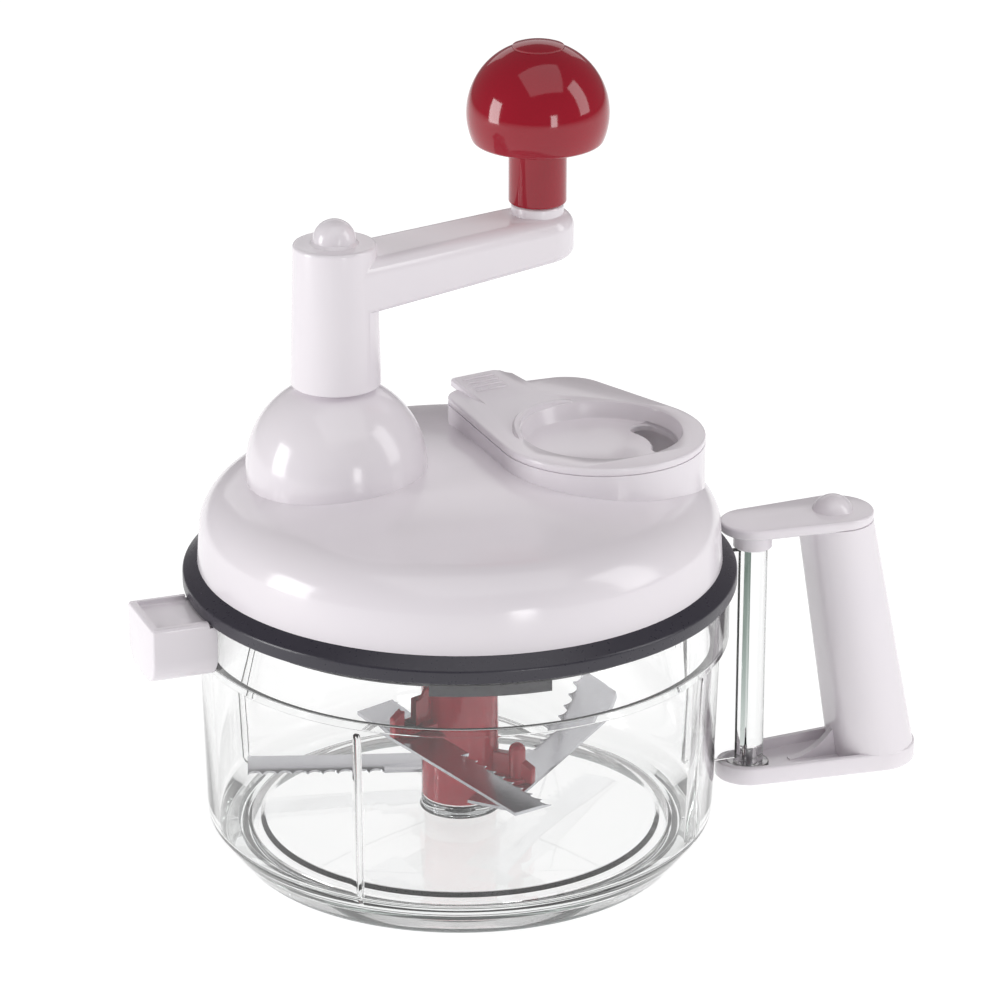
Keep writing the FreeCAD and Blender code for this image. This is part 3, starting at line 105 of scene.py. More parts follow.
# %% Solids
def put(name, bm):
    """Turns millimetres to metres and makes the object."""
    bmesh.ops.remove_doubles(bm, verts=bm.verts, dist=0.0005)
    bmesh.ops.recalc_face_normals(bm, faces=bm.faces)
    bmesh.ops.scale(bm, vec=(MM, MM, MM), verts=bm.verts)
    mesh = bpy.data.meshes.new(name)
    bm.to_mesh(mesh)
    bm.free()
    obj = bpy.data.objects.new(name, mesh)
    bpy.context.scene.collection.objects.link(obj)
    return obj


def rings(name, loops, closed_ends=True, closed_round=False):
    """Skins rings of points into a closed solid."""
    bm = bmesh.new()
    made = [[bm.verts.new(p) for p in loop] for loop in loops]
    count = len(loops[0])
    pairs = list(zip(made, made[1:]))
    if closed_round:
        pairs.append((made[-1], made[0]))
    for low, high in pairs:
        for k in range(count):
            j = (k + 1) % count
            bm.faces.new((low[k], low[j], high[j], high[k]))
    if closed_ends and not closed_round:
        bm.faces.new(list(reversed(made[0])))
        bm.faces.new(made[-1])
    return put(name, bm)


def turned(name, section, segments=192, x=0.0, y=0.0):
    """Spins a closed (radius, height) section about a vertical axis."""
    bm = bmesh.new()
    verts = [bm.verts.new((p[0], 0, p[1])) for p in section]
    edges = [bm.edges.new((verts[i - 1], verts[i])) for i in range(len(verts))]
    bmesh.ops.spin(bm, geom=verts + edges, axis=(0, 0, 1), cent=(0, 0, 0), steps=segments,
                   angle=2 * math.pi, use_merge=True)
    bmesh.ops.remove_doubles(bm, verts=bm.verts, dist=0.0005)
    loose = [f for f in bm.faces if f.calc_area() < 1e-7]
    bmesh.ops.delete(bm, geom=loose, context="FACES_ONLY")
    bmesh.ops.translate(bm, vec=(x, y, 0), verts=bm.verts)
    return put(name, bm)


def raised(name, outline, low, high):
    """Raises a flat outline between two heights."""
    return rings(name, [[(p[0], p[1], z) for p in outline] for z in (low, high)])


def post(name, radius, low, high, x=0.0, y=0.0, soft=0.0):
    """A round post with softened rims."""
    section = rounded([(0, low, 0), (radius, low, soft), (radius, high, soft), (0, high, 0)])
    return turned(name, section, 64, x, y)


def block(name, low, high, soft=0.0):
    """A box with softened edges."""
    bm = bmesh.new()
    bmesh.ops.create_cube(bm, size=1.0)
    size = Vector(high) - Vector(low)
    bmesh.ops.scale(bm, vec=size, verts=bm.verts)
    bmesh.ops.translate(bm, vec=(Vector(low) + Vector(high)) / 2, verts=bm.verts)
    if soft:
        bmesh.ops.bevel(bm, geom=bm.edges[:], offset=soft, segments=4, profile=0.5, affect="EDGES")
    return put(name, bm)


def sector(name, outer, inner, first, last, low, high, steps=24):
    """A piece of a ring between two angles in degrees."""
    loops = []
    for k in range(steps + 1):
        angle = math.radians(first + (last - first) * k / steps)
        c, s = math.cos(angle), math.sin(angle)
        section = ((inner, low), (outer, low), (outer, high), (inner, high))
        loops.append([(r * c, r * s, z) for r, z in section])
    return rings(name, loops)


# %% [markdown]
# ## Joining and cutting
# A moulding is one closed skin, and clear plastic shows every inner wall, so parts of one moulding are
# united with booleans rather than pushed into each other. The result is baked to a plain mesh at once.

# %% Bake, unite, cut, soften
def bake(obj):
    """Replaces the object's mesh by what its modifiers make of it."""
    graph = bpy.context.evaluated_depsgraph_get()
    mesh = bpy.data.meshes.new_from_object(obj.evaluated_get(graph))
    obj.modifiers.clear()
    obj.data = mesh
    return obj


def combine(obj, tools, operation):
    """Unites the tools with the object or cuts them from it, and removes the tools."""
    for tool in tools:
        step = obj.modifiers.new("combine", "BOOLEAN")
        step.operation = operation
        step.solver = "EXACT"
        step.object = tool
    bake(obj)
    for tool in tools:
        bpy.data.objects.remove(tool)
    return obj


def unite(obj, *tools):
    return combine(obj, tools, "UNION")


def cut(obj, *tools):
    return combine(obj, tools, "DIFFERENCE")


def soften(obj, width, angle=35, segments=3):
    """Rounds every edge sharper than the angle."""
    step = obj.modifiers.new("soften", "BEVEL")
    step.width = width * MM
    step.segments = segments
    step.limit_method = "ANGLE"
    step.angle_limit = math.radians(angle)
    return bake(obj)


def placed(obj, turn=0.0, x=0.0, y=0.0, z=0.0):
    """Turns a mesh about the Z axis and moves it, leaving the object at the origin."""
    shift = Matrix.Translation((x * MM, y * MM, z * MM))
    obj.data.transform(shift @ Matrix.Rotation(math.radians(turn), 4, "Z"))
    return obj


# %% [markdown]
# ## One tree for what goes round an axis
# The bowl's ribs and lugs and the lid's catches all repeat about one axis. A Geometry Nodes tree takes one of
# them and a count, and sets copies round the axis. It ends in Realize Instances and Set Material, so that
# the result is real geometry with its finish. Its start and its end are functions, because a second tree
# needs the same ones.

# %% Repeat round an axis
def add(tree, kind, settings=None, inputs=None):
    """Adds a node, sets its properties, and fills or links its inputs."""
    node = tree.nodes.new(kind)
    for name, value in (settings or {}).items():
        setattr(node, name, value)
    for name, value in (inputs or {}).items():
        socket = node.inputs[name]
        if isinstance(value, bpy.types.NodeSocket):
            tree.links.new(value, socket)
        else:
            socket.default_value = value
    return node


def tree_start(name, step, step_type):
    """A tree with inputs for the shape, the count, the step and the finish."""
    tree = bpy.data.node_groups.new(name, "GeometryNodeTree")
    sockets = (("Geometry", "Geometry"), ("Count", "Int"), (step, step_type), ("Finish", "Material"))
    for title, kind in sockets:
        tree.interface.new_socket(title, in_out="INPUT", socket_type="NodeSocket" + kind)
    tree.interface.new_socket("Geometry", in_out="OUTPUT", socket_type="NodeSocketGeometry")
    return tree, add(tree, "NodeGroupInput").outputs


def tree_end(tree, source, points):
    """Sets copies of the shape on the points, makes them real and gives them the finish."""
    copies = add(tree, "GeometryNodeInstanceOnPoints", inputs={"Instance": source["Geometry"], **points})
    real = add(tree, "GeometryNodeRealizeInstances", inputs={"Geometry": copies.outputs[0]})
    coloured = add(tree, "GeometryNodeSetMaterial",
                   inputs={"Geometry": real.outputs[0], "Material": source["Finish"]})
    add(tree, "NodeGroupOutput", inputs={"Geometry": coloured.outputs[0]})
    print(tree.name, "nodes:", len(tree.nodes))
    return tree


def round_axis_tree():
    tree, source = tree_start("copies round an axis", "Step angle", "Float")
    points = add(tree, "GeometryNodePoints", inputs={"Count": source["Count"]})
    index = add(tree, "GeometryNodeInputIndex")
    angle = add(tree, "ShaderNodeMath", {"operation": "MULTIPLY"},
                {0: index.outputs[0], 1: source["Step angle"]})
    turn = add(tree, "ShaderNodeCombineXYZ", inputs={"Z": angle.outputs[0]})
    return tree_end(tree, source, {"Points": points.outputs[0], "Rotation": turn.outputs[0]})


ROUND_AXIS = round_axis_tree()


def fill_tree(obj, tree, values):
    """Runs a tree on the object with these inputs and keeps the mesh it makes."""
    way = obj.modifiers.new("copies", "NODES")
    way.node_group = tree
    for item in tree.interface.items_tree:
        if item.in_out == "INPUT" and item.name in values:
            way[item.identifier] = values[item.name]
    return bake(obj)


def repeat(obj, count, step, finish):
    """Copies the mesh round the Z axis at a step in degrees."""
    values = {"Count": count, "Step angle": math.radians(step), "Finish": finish}
    return fill_tree(obj, ROUND_AXIS, values)


# %% [markdown]
# The thumb tab has ribs in a straight row. The same idea works with a step in millimetres instead of an
# angle: each point is moved by its number times the step.

# %% Repeat along a line
def along_line_tree():
    tree, source = tree_start("copies along a line", "Step", "Vector")
    index = add(tree, "GeometryNodeInputIndex")
    way = add(tree, "ShaderNodeVectorMath", {"operation": "SCALE"},
              {"Vector": source["Step"], "Scale": index.outputs[0]})
    points = add(tree, "GeometryNodePoints",
                 inputs={"Count": source["Count"], "Position": way.outputs[0]})
    return tree_end(tree, source, {"Points": points.outputs[0]})


ALONG_LINE = along_line_tree()


def row(obj, count, step, finish):
    """Copies the mesh along a line, each a step of millimetres further."""
    return fill_tree(obj, ALONG_LINE, {"Count": count, "Step": Vector(step) * MM, "Finish": finish})


# %% [markdown]
# ## Colours and finishes
# Each finish starts from what the real material is and how its surface was made. A moulded plastic copies
# its polished steel mould, so it is smooth, with a faint waviness of a few millimetres and a little
# unevenness in its gloss. Colours are read as sRGB and turned to linear by one function.

# %% Colour
def linear(code, alpha=1.0):
    """sRGB hex code to a linear colour."""
    values = []
    for i in (0, 2, 4):
        v = int(code[i:i + 2], 16) / 255
        values.append(v / 12.92 if v <= 0.04045 else ((v + 0.055) / 1.055) ** 2.4)
    return (*values, alpha)


def started(name):
    """An empty node material."""
    material = bpy.data.materials.new(name)
    material.use_nodes = True
    material.node_tree.nodes.clear()
    return material, material.node_tree


PLASTIC_IOR, WAVE_MM, WAVE_DEPTH = 1.54, 6.0, 0.4


def moulded(name, light, dark, rough_low, rough_high, wave=0.04):
    """Moulded plastic: two close tones, uneven gloss and a faint waviness from the mould."""
    material, tree = started(name)
    place = add(tree, "ShaderNodeTexCoord").outputs["Object"]
    cloud = add(tree, "ShaderNodeTexNoise",
                inputs={"Vector": place, "Scale": 1 / (WAVE_MM * 5 * MM), "Detail": 2.0})
    tone = add(tree, "ShaderNodeMix", {"data_type": "RGBA"},
               {"Factor": cloud.outputs["Fac"], "A": linear(light), "B": linear(dark)})
    grain = add(tree, "ShaderNodeTexNoise",
                inputs={"Vector": place, "Scale": 1 / (WAVE_MM * 0.25 * MM), "Detail": 4.0})
    gloss = add(tree, "ShaderNodeMapRange", inputs={"Value": grain.outputs["Fac"], "From Min": 0.3,
                                                    "From Max": 0.7, "To Min": rough_low, "To Max": rough_high})
    swell = add(tree, "ShaderNodeTexNoise", inputs={"Vector": place, "Scale": 1 / (WAVE_MM * MM), "Detail": 1.0})
    bump = add(tree, "ShaderNodeBump", inputs={"Height": swell.outputs["Fac"], "Strength": wave,
                                               "Distance": WAVE_DEPTH * MM})
    shader = add(tree, "ShaderNodeBsdfPrincipled",
                 inputs={"Base Color": tone.outputs["Result"], "Roughness": gloss.outputs["Result"],
                         "IOR": PLASTIC_IOR, "Normal": bump.outputs["Normal"]})
    add(tree, "ShaderNodeOutputMaterial", inputs={"Surface": shader.outputs[0]})
    return material


# %% [markdown]
# The white parts are ABS, glossy and slightly cool. The ring is a dark ABS, the knob and the blade hub are
# red ABS with a deep gloss, and the gears are acetal, which is duller and creamier.

# %% Plastics
WHITE_ABS = moulded("white ABS, gloss moulded", "f3eef2", "eee9ef", 0.12, 0.2)
DARK_ABS = moulded("anthracite ABS, satin moulded", "35333d", "2e2c36", 0.26, 0.36)
RED_ABS = moulded("red ABS, deep gloss", "a3142a", "920f22", 0.06, 0.11, wave=0.03)
HUB_RED = moulded("red ABS of the blade hub", "c0102e", "ad0c26", 0.1, 0.18)
ACETAL = moulded("natural acetal, satin moulded", "e6e2d6", "dcd7c9", 0.38, 0.5)
SOFT_GREY = moulded("grey soft rubber ring", "b4b8b8", "a5a9a9", 0.5, 0.62, wave=0.1)
print("plastics:", [finish.name for finish in (WHITE_ABS, DARK_ABS, RED_ABS, HUB_RED, ACETAL, SOFT_GREY)])


# %% Clear plastic
CLEAR_IOR, CLEAR_WAVE_MM, CLEAR_TINT, CLEAR_DENSITY = 1.53, 14.0, "9fb3aa", 9.0


def clear_styrene():
    """Clear styrene copolymer: polished all over, with a green-grey tint that shows along its edges."""
    material, tree = started("clear styrene copolymer")
    place = add(tree, "ShaderNodeTexCoord").outputs["Object"]
    swell = add(tree, "ShaderNodeTexNoise",
                inputs={"Vector": place, "Scale": 1 / (CLEAR_WAVE_MM * MM), "Detail": 1.0})
    bump = add(tree, "ShaderNodeBump", inputs={"Height": swell.outputs["Fac"], "Strength": 0.03,
                                               "Distance": WAVE_DEPTH * MM})
    shader = add(tree, "ShaderNodeBsdfPrincipled",
                 inputs={"Base Color": (1, 1, 1, 1), "Roughness": 0.0, "IOR": CLEAR_IOR,
                         "Transmission Weight": 1.0, "Normal": bump.outputs["Normal"]})
    depth = add(tree, "ShaderNodeVolumeAbsorption", inputs={"Color": linear(CLEAR_TINT), "Density": CLEAR_DENSITY})
    add(tree, "ShaderNodeOutputMaterial", inputs={"Surface": shader.outputs[0], "Volume": depth.outputs[0]})
    return material


# %% Steel
def steel(name, tone, rough, grain_mm, along):
    """Stainless steel with fine straight marks from grinding or turning."""
    material, tree = started(name)
    place = add(tree, "ShaderNodeTexCoord").outputs["Object"]
    stretch = add(tree, "ShaderNodeMapping", inputs={"Vector": place, "Scale": along})
    marks = add(tree, "ShaderNodeTexNoise", inputs={"Vector": stretch.outputs["Vector"],
                                                    "Scale": 1 / (grain_mm * MM), "Detail": 5.0})
    gloss = add(tree, "ShaderNodeMapRange", inputs={"Value": marks.outputs["Fac"], "From Min": 0.3,
                                                    "From Max": 0.7, "To Min": rough * 0.75, "To Max": rough * 1.3})
    bump = add(tree, "ShaderNodeBump", inputs={"Height": marks.outputs["Fac"], "Strength": 0.12,
                                               "Distance": 0.05 * MM})
    shader = add(tree, "ShaderNodeBsdfPrincipled",
                 inputs={"Base Color": linear(tone), "Metallic": 1.0, "Roughness": gloss.outputs["Result"],
                         "Normal": bump.outputs["Normal"]})
    add(tree, "ShaderNodeOutputMaterial", inputs={"Surface": shader.outputs[0]})
    return material


CLEAR = clear_styrene()
BLADE_STEEL = steel("ground stainless steel", "c4c4c8", 0.2, 1.2, (1, 14, 14))
TURNED_STEEL = steel("turned bright steel", "bcbcbe", 0.22, 2.0, (1, 1, 10))


# %% Finish a piece
def shade(obj, finish, crease):
    """Gives a mesh its finish, smooth inside its faces and sharp over the crease angle."""
    obj.data.materials.clear()
    obj.data.materials.append(finish)
    obj.data.shade_smooth()
    obj.data.set_sharp_from_angle(angle=math.radians(crease))


def piece(obj, finish, body, node, crease=32):
    """Finishes a piece and lets it stand for its CAD node."""
    shade(obj, finish, crease)
    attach(obj, body)
    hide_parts(node)
    print(obj.name, "faces:", len(obj.data.polygons))



# %% [markdown]
# ## The clear bowl
# The bowl is one injection moulding: a foot wall, a slightly flared wall, a ledge, and a wider collar that
# takes the lid. Four ribs inside turn the food back into the blades. On the outside stand a column and a
# fin for the handle, and a stub for the small lug. Everything is united before it gets its clear finish.

# %% Bowl sizes
FOOT_IN, FOOT_OUT, FOOT_RAISE = 66.2, 69.6, 0.8
CORNER_R, CORNER_Z = 78.6, 12.6
WALL_TOP_R, WALL_T, LEDGE_Z, LEDGE_T = 80.4, 2.3, 70.2, 1.9
COLLAR_R, COLLAR_T, RIM_Z = 82.8, 2.4, 88.6
FLOOR_Z, FLOOR_T, FLOOR_RISE_R, FLOOR_RISE = 10.0, 2.4, 60.6, 1.9
GUTTER_OUT, GUTTER_SLOPE, GUTTER_IN, GUTTER_DEPTH = 66.6, 1.2, 62.6, 0.8
BOSS_R, BOSS_Z, PIN_R = 12.1, 15.4, 3.0
RIB_FIRST, RIB_STEP, RIBS = -133.0, 90.0, 4
RIB_HALF, RIB_REACH, RIB_CLEAR, RIB_EDGE = 0.8, 2.5, 3.0, 1.2
BOWL_LUG_REACH, BOWL_LUG_HALF_TURN, BOWL_LUG_LOW, BOWL_LUG_TOP = 2.2, 15, 86.5, 88.1
COLUMN_X, COLUMN_R, COLUMN_LOW, COLUMN_TOP = 97.6, 4.8, 8.8, 89.3
COLUMN_FOOT_R, COLUMN_FOOT_H, COLUMN_BORE_R, COLUMN_BORE_TOP = 6.7, 2.0, 1.7, 16.05
FIN_HALF, FIN_LOW, FIN_TOP = 1.5, 12.7, 83.9
STUB_REACH, STUB_HALF, STUB_HALF_H, STUB_Z = 11.0, 8.0, 2.5, 81.4
RING_IN, RING_OUT, RING_TOP = 66.9, 68.9, 2.4
ROUND_STEPS = 240

# %% Bowl shell
ledge_top = LEDGE_Z + LEDGE_T
under_floor = FLOOR_Z - FLOOR_T
bowl_section = rounded([
    (0, under_floor + FLOOR_RISE, 0), (BOSS_R, under_floor + FLOOR_RISE, 0), (FLOOR_RISE_R, under_floor, 0.8),
    (FOOT_IN, under_floor, 0.8), (FOOT_IN, FOOT_RAISE, 0.4), (FOOT_OUT, FOOT_RAISE, 0.8),
    (CORNER_R, CORNER_Z, 4.0), (WALL_TOP_R, LEDGE_Z, 0.5), (COLLAR_R, LEDGE_Z, 0.7), (COLLAR_R, RIM_Z, 0.6),
    (COLLAR_R - COLLAR_T, RIM_Z, 0.6), (COLLAR_R - COLLAR_T, ledge_top, 0.5), (WALL_TOP_R - WALL_T, ledge_top, 0.5),
    (CORNER_R - WALL_T, CORNER_Z, 1.6), (FOOT_OUT, FLOOR_Z, 1.2), (GUTTER_OUT, FLOOR_Z - 0.2, 0.4),
    (GUTTER_OUT - GUTTER_SLOPE, FLOOR_Z - GUTTER_DEPTH, 0.4), (GUTTER_IN, FLOOR_Z - GUTTER_DEPTH, 0.4),
    (FLOOR_RISE_R + 0.5, FLOOR_Z + 0.1, 0.3), (FLOOR_RISE_R, FLOOR_Z + 0.2, 0.3),
    (BOSS_R, FLOOR_Z + FLOOR_RISE, 0.8), (BOSS_R, BOSS_Z, 0.8), (0, BOSS_Z, 0)])
bowl = turned("bowl_clear", bowl_section, ROUND_STEPS)
print("bowl section points:", len(bowl_section))

# %% Bowl ribs and catch lugs
rib_low_in = CORNER_R - WALL_T - RIB_REACH
rib_top = LEDGE_Z - RIB_CLEAR
rib_high_out = CORNER_R + (WALL_TOP_R - CORNER_R) * (rib_top - CORNER_Z) / (LEDGE_Z - CORNER_Z) - WALL_T
rib_side = [(rib_low_in, FLOOR_Z - 0.4), (CORNER_R - WALL_T / 2, CORNER_Z + WALL_T),
            (rib_high_out + WALL_T / 2, rib_top), (rib_high_out - RIB_EDGE, rib_top),
            (rib_high_out - RIB_REACH, rib_top - RIB_REACH)]
rib = rings("rib", [[(r, y, z) for r, z in rib_side] for y in (-RIB_HALF, RIB_HALF)])
rib = placed(soften(rib, 0.4), RIB_FIRST)
ribs = repeat(rib, RIBS, RIB_STEP, CLEAR)
lug = sector("lug", COLLAR_R - COLLAR_T / 2, COLLAR_R - COLLAR_T - BOWL_LUG_REACH, RIB_FIRST - BOWL_LUG_HALF_TURN,
             RIB_FIRST + BOWL_LUG_HALF_TURN, BOWL_LUG_LOW, BOWL_LUG_TOP)
lugs = repeat(lug, RIBS, RIB_STEP, CLEAR)
print("ribs and lugs, faces:", len(ribs.data.polygons), len(lugs.data.polygons))

# %% Bowl column, fin and stub
column = post("column", COLUMN_R, COLUMN_LOW, COLUMN_TOP, COLUMN_X, soft=0.5)
column_foot = post("column foot", COLUMN_FOOT_R, COLUMN_LOW, COLUMN_LOW + COLUMN_FOOT_H, COLUMN_X, soft=0.5)
fin = block("fin", (FOOT_OUT, -FIN_HALF, FIN_LOW), (COLUMN_X, FIN_HALF, FIN_TOP), 0.3)
wall_middle = WALL_T / 2
inside = turned("inside", [
    (0, 10), (CORNER_R - 3.0, 10), (CORNER_R - wall_middle, CORNER_Z + 5), (WALL_TOP_R - wall_middle, LEDGE_Z),
    (WALL_TOP_R - wall_middle, LEDGE_Z + 1), (COLLAR_R - wall_middle, LEDGE_Z + 1), (COLLAR_R - wall_middle, RIM_Z),
    (0, RIM_Z)], ROUND_STEPS)
cut(fin, inside)
stub = block("stub", (-(COLLAR_R + STUB_REACH), -STUB_HALF, STUB_Z - STUB_HALF_H),
             (-(COLLAR_R - COLLAR_T / 2), STUB_HALF, STUB_Z + STUB_HALF_H), 0.4)
unite(bowl, ribs, lugs, column, column_foot, fin, stub)
pin_hole = post("pin hole", PIN_R, FLOOR_Z + FLOOR_RISE - FLOOR_T / 2, BOSS_Z + 5)
screw_hole = post("column hole", COLUMN_BORE_R, COLUMN_LOW - 3, COLUMN_BORE_TOP, COLUMN_X)
groove_side = [(RING_IN, -1), (RING_OUT, -1), (RING_OUT, RING_TOP), (RING_IN, RING_TOP)]
groove = turned("groove", groove_side, ROUND_STEPS)
cut(bowl, pin_hole, screw_hole, groove)
piece(bowl, CLEAR, "bowl", "bowl")

# %% Foot ring
ring_side = rounded([(RING_IN, 0, 0.5), (RING_OUT, 0, 0.5), (RING_OUT, RING_TOP, 0.2), (RING_IN, RING_TOP, 0.2)])
foot_ring = turned("foot_ring_soft", ring_side, ROUND_STEPS)
piece(foot_ring, SOFT_GREY, "bowl", "foot_ring")

# %% [markdown]
# ## The side lug
# A white cap is pushed over the stub. It is a box with large round edges below and a shallow dished top.

# %% Side lug
LUG_X, LUG_HALF, LUG_TOP, LUG_LOW, LUG_SOFT = 102.3, 13.0, 89.3, 70.4, 8.0
LUG_EDGE, DISH_DEPTH, LUG_PLAY = 2.2, 1.6, 0.05
RING_WAY_R, RING_WAY_LOW = 85.5, 87.7
lug_end = rounded([(-LUG_HALF, LUG_TOP, 1.2), (-LUG_HALF, LUG_LOW, LUG_SOFT), (LUG_HALF, LUG_LOW, LUG_SOFT),
                   (LUG_HALF, LUG_TOP, 1.2)], 10)
lug_ends = [[(x, p[0], p[1]) for p in lug_end] for x in (-LUG_X, -(COLLAR_R - COLLAR_T))]
side_lug = soften(rings("side_lug_white", lug_ends), 1.0, 50, 4)
dish = block("dish", (-(LUG_X - LUG_EDGE), -(LUG_HALF - LUG_EDGE), LUG_TOP - DISH_DEPTH),
             (0, LUG_HALF - LUG_EDGE, LUG_TOP + 4), 0.6)
collar_way = post("collar way", COLLAR_R + 0.3, LUG_LOW - 5, LUG_TOP + 5)
ring_way = post("ring way", RING_WAY_R, RING_WAY_LOW, LUG_TOP + 5)
stub_side, stub_rise = STUB_HALF + LUG_PLAY, STUB_HALF_H + LUG_PLAY
stub_way = block("stub way", (-(COLLAR_R + STUB_REACH + 0.3), -stub_side, STUB_Z - stub_rise),
                 (0, stub_side, STUB_Z + stub_rise))
cut(side_lug, dish, collar_way, ring_way, stub_way)
piece(side_lug, WHITE_ABS, "bowl", "side_lug")

# %% [markdown]
# ## The handle
# The grip leans out towards its foot. It is flat where the fingers lie and round towards the palm, and it
# narrows upwards, so it is skinned between rings that follow its leaning axis.

# %% Grip and bottom arm
GRIP_FOOT_X, GRIP_FOOT_R, GRIP_TOP_X, GRIP_TOP_R = 140.3, 14.2, 125.6, 12.3
GRIP_FLAT, GRIP_SOFT, GRIP_POINTS, GRIP_RINGS = 0.88, 26, 96, 8
ARM_Z, ARM_FLOOR, ARM_TOP, CUP_R, ARM_WALL = 6.3, 8.8, 12.2, 10.5, 2.0
GUSSET_IN, GUSSET_OUT, GUSSET_TOP, GUSSET_HALF = 111.8, 133.0, 20.8, 1.25
GUSSET_STEPS, BELT_STEPS = 8, 40
PLATE_LOW, PLATE_TOP = 89.9, 93.2


def grip_ring(share):
    """Section of the grip at a share of its height: a circle cut flat towards the bowl, with soft corners."""
    z = ARM_FLOOR + (PLATE_LOW - ARM_FLOOR) * share
    x = GRIP_FOOT_X + (GRIP_TOP_X - GRIP_FOOT_X) * share
    radius = GRIP_FOOT_R + (GRIP_TOP_R - GRIP_FOOT_R) * share
    ring = []
    for k in range(GRIP_POINTS):
        angle = 2 * math.pi * k / GRIP_POINTS
        towards = max(-math.cos(angle) / GRIP_FLAT, 0.0)
        reach = radius * (1 + towards ** GRIP_SOFT) ** (-1 / GRIP_SOFT)
        ring.append((x + reach * math.cos(angle), reach * math.sin(angle), z))
    return ring


grip = rings("handle_grip", [grip_ring(k / GRIP_RINGS) for k in range(GRIP_RINGS + 1)])
arm_out = belt([(COLUMN_X, 0, CUP_R), (GRIP_FOOT_X, 0, GRIP_FOOT_R)], BELT_STEPS)
arm_in = belt([(COLUMN_X, 0, CUP_R - ARM_WALL), (GRIP_FOOT_X, 0, GRIP_FOOT_R - ARM_WALL)], BELT_STEPS)
handle = soften(raised("handle_moulding", arm_out, ARM_Z, ARM_TOP), 0.7)
cut(handle, raised("arm hollow", arm_in, ARM_FLOOR, ARM_TOP + 3))
print("grip and arm, faces:", len(grip.data.polygons), len(handle.data.polygons))

# %% Gusset and holes
high, middle, low = Vector((128.6, GUSSET_TOP)), Vector((122.0, 9.8)), Vector((GUSSET_IN, 9.2))
gusset_side = [(GUSSET_IN, ARM_FLOOR - 0.3), (GUSSET_OUT, ARM_FLOOR - 0.3), (GUSSET_OUT, GUSSET_TOP)]
for k in range(GUSSET_STEPS + 1):
    share = k / GUSSET_STEPS
    gusset_side.append(tuple(high.lerp(middle, share).lerp(middle.lerp(low, share), share)))
gusset = rings("gusset", [[(x, y, z) for x, z in gusset_side] for y in (-GUSSET_HALF, GUSSET_HALF)])
unite(handle, grip, gusset)
seat_hole = post("seat hole", 3.5, ARM_Z - 3, ARM_Z + 1.25, COLUMN_X)
arm_hole = post("arm hole", 1.65, ARM_Z - 3, ARM_FLOOR + 2, COLUMN_X)
foot_way = post("foot way", COLUMN_FOOT_R + 0.3, ARM_FLOOR - 0.01, ARM_TOP + 3, COLUMN_X)
cut(handle, seat_hole, arm_hole, foot_way)
piece(handle, WHITE_ABS, "bowl", "handle")

# %% Top plate
PLATE_COLLAR_R, PLATE_COLLAR_H, SOCKET_TOP = 6.15, 5.5, 89.6
plate_line = belt([(COLUMN_X, 0, CUP_R), (GRIP_TOP_X, 0, GRIP_TOP_R)], BELT_STEPS)
plate = soften(raised("handle_plate", plate_line, PLATE_LOW, PLATE_TOP), 0.9, 40, 4)
unite(plate, post("collar", PLATE_COLLAR_R, PLATE_LOW - PLATE_COLLAR_H, PLATE_LOW + 0.5, COLUMN_X, soft=0.4))
socket = post("socket", COLUMN_R + 0.05, PLATE_LOW - 8, SOCKET_TOP, COLUMN_X)
head_way = post("head way", 3.9, PLATE_TOP - 2.0, PLATE_TOP + 3, GRIP_TOP_X)
tie_way = post("tie way", 2.5, PLATE_LOW - 2, PLATE_TOP, GRIP_TOP_X)
cut(plate, socket, head_way, tie_way)
piece(plate, WHITE_ABS, "bowl", "handle_top_plate")

# %% Cap on the plate
CAP_R, CAP_H, CAP_SHIFT = 6.5, 4.7, 0.8
cap_ball = (CAP_R * CAP_R + CAP_H * CAP_H) / (2 * CAP_H)
cap_spread = math.asin(CAP_R / cap_ball)
cap_arc = [(cap_ball * math.sin(a), PLATE_TOP + CAP_H - cap_ball + cap_ball * math.cos(a))
           for a in [cap_spread * k / 14 for k in range(15)]]
cap_side = [(0, PLATE_TOP), (CAP_R, PLATE_TOP)] + cap_arc[::-1]
handle_cap = turned("handle_cap_white", cap_side, 64, GRIP_TOP_X - CAP_SHIFT)
piece(handle_cap, WHITE_ABS, "bowl", "handle_cap")

# %% [markdown]
# ## The lid
# The white shell is a low crowned cap with a ball-shaped tower over the crank's shaft and an upright feed
# chute. It is hollow, so the same shapes are made twice, once drawn in by the wall, and cut.

# %% Lid shell sizes
TOWER_REACH, TOWER_ANGLE = 37.5, math.radians(160)
TOWER_X, TOWER_Y = TOWER_REACH * math.cos(TOWER_ANGLE), TOWER_REACH * math.sin(TOWER_ANGLE)
SHELL_T, FEED_T, SHELL_FOOT = 2.2, 2.0, 95.5
DOME_R, DOME_CENTRE, DOME_LOW, DOME_TOP = 27.7, 124.7, 111.9, 150.8
CHUTE = [(43.5, -6.5, 32.0), (46.5, 30.5, 14.0), (17.5, 37.0, 7.5)]
CHUTE_RIM, BASE_TOP = 129.3, 94.5
CROWN = [(0, 124.5), (40.0, 123.1), (66.0, 119.3)]
SHOULDER, SHOULDER_END, SHELL_R = (75.2, 115.0), (79.6, 107.5), 80.4
BOSS_ANGLES, BOSS_REACH, BOSS_END = (90, 150, 210, 270), 72.0, 76.9
PIN_ROOM, BUSH_R, BUSH_ROOM, BUSH_HOUSE_R = 0.05, 6.0, 0.05, 8.25


def chute_outline(inset):
    return belt([(x, y, r - inset) for x, y, r in CHUTE], BELT_STEPS)


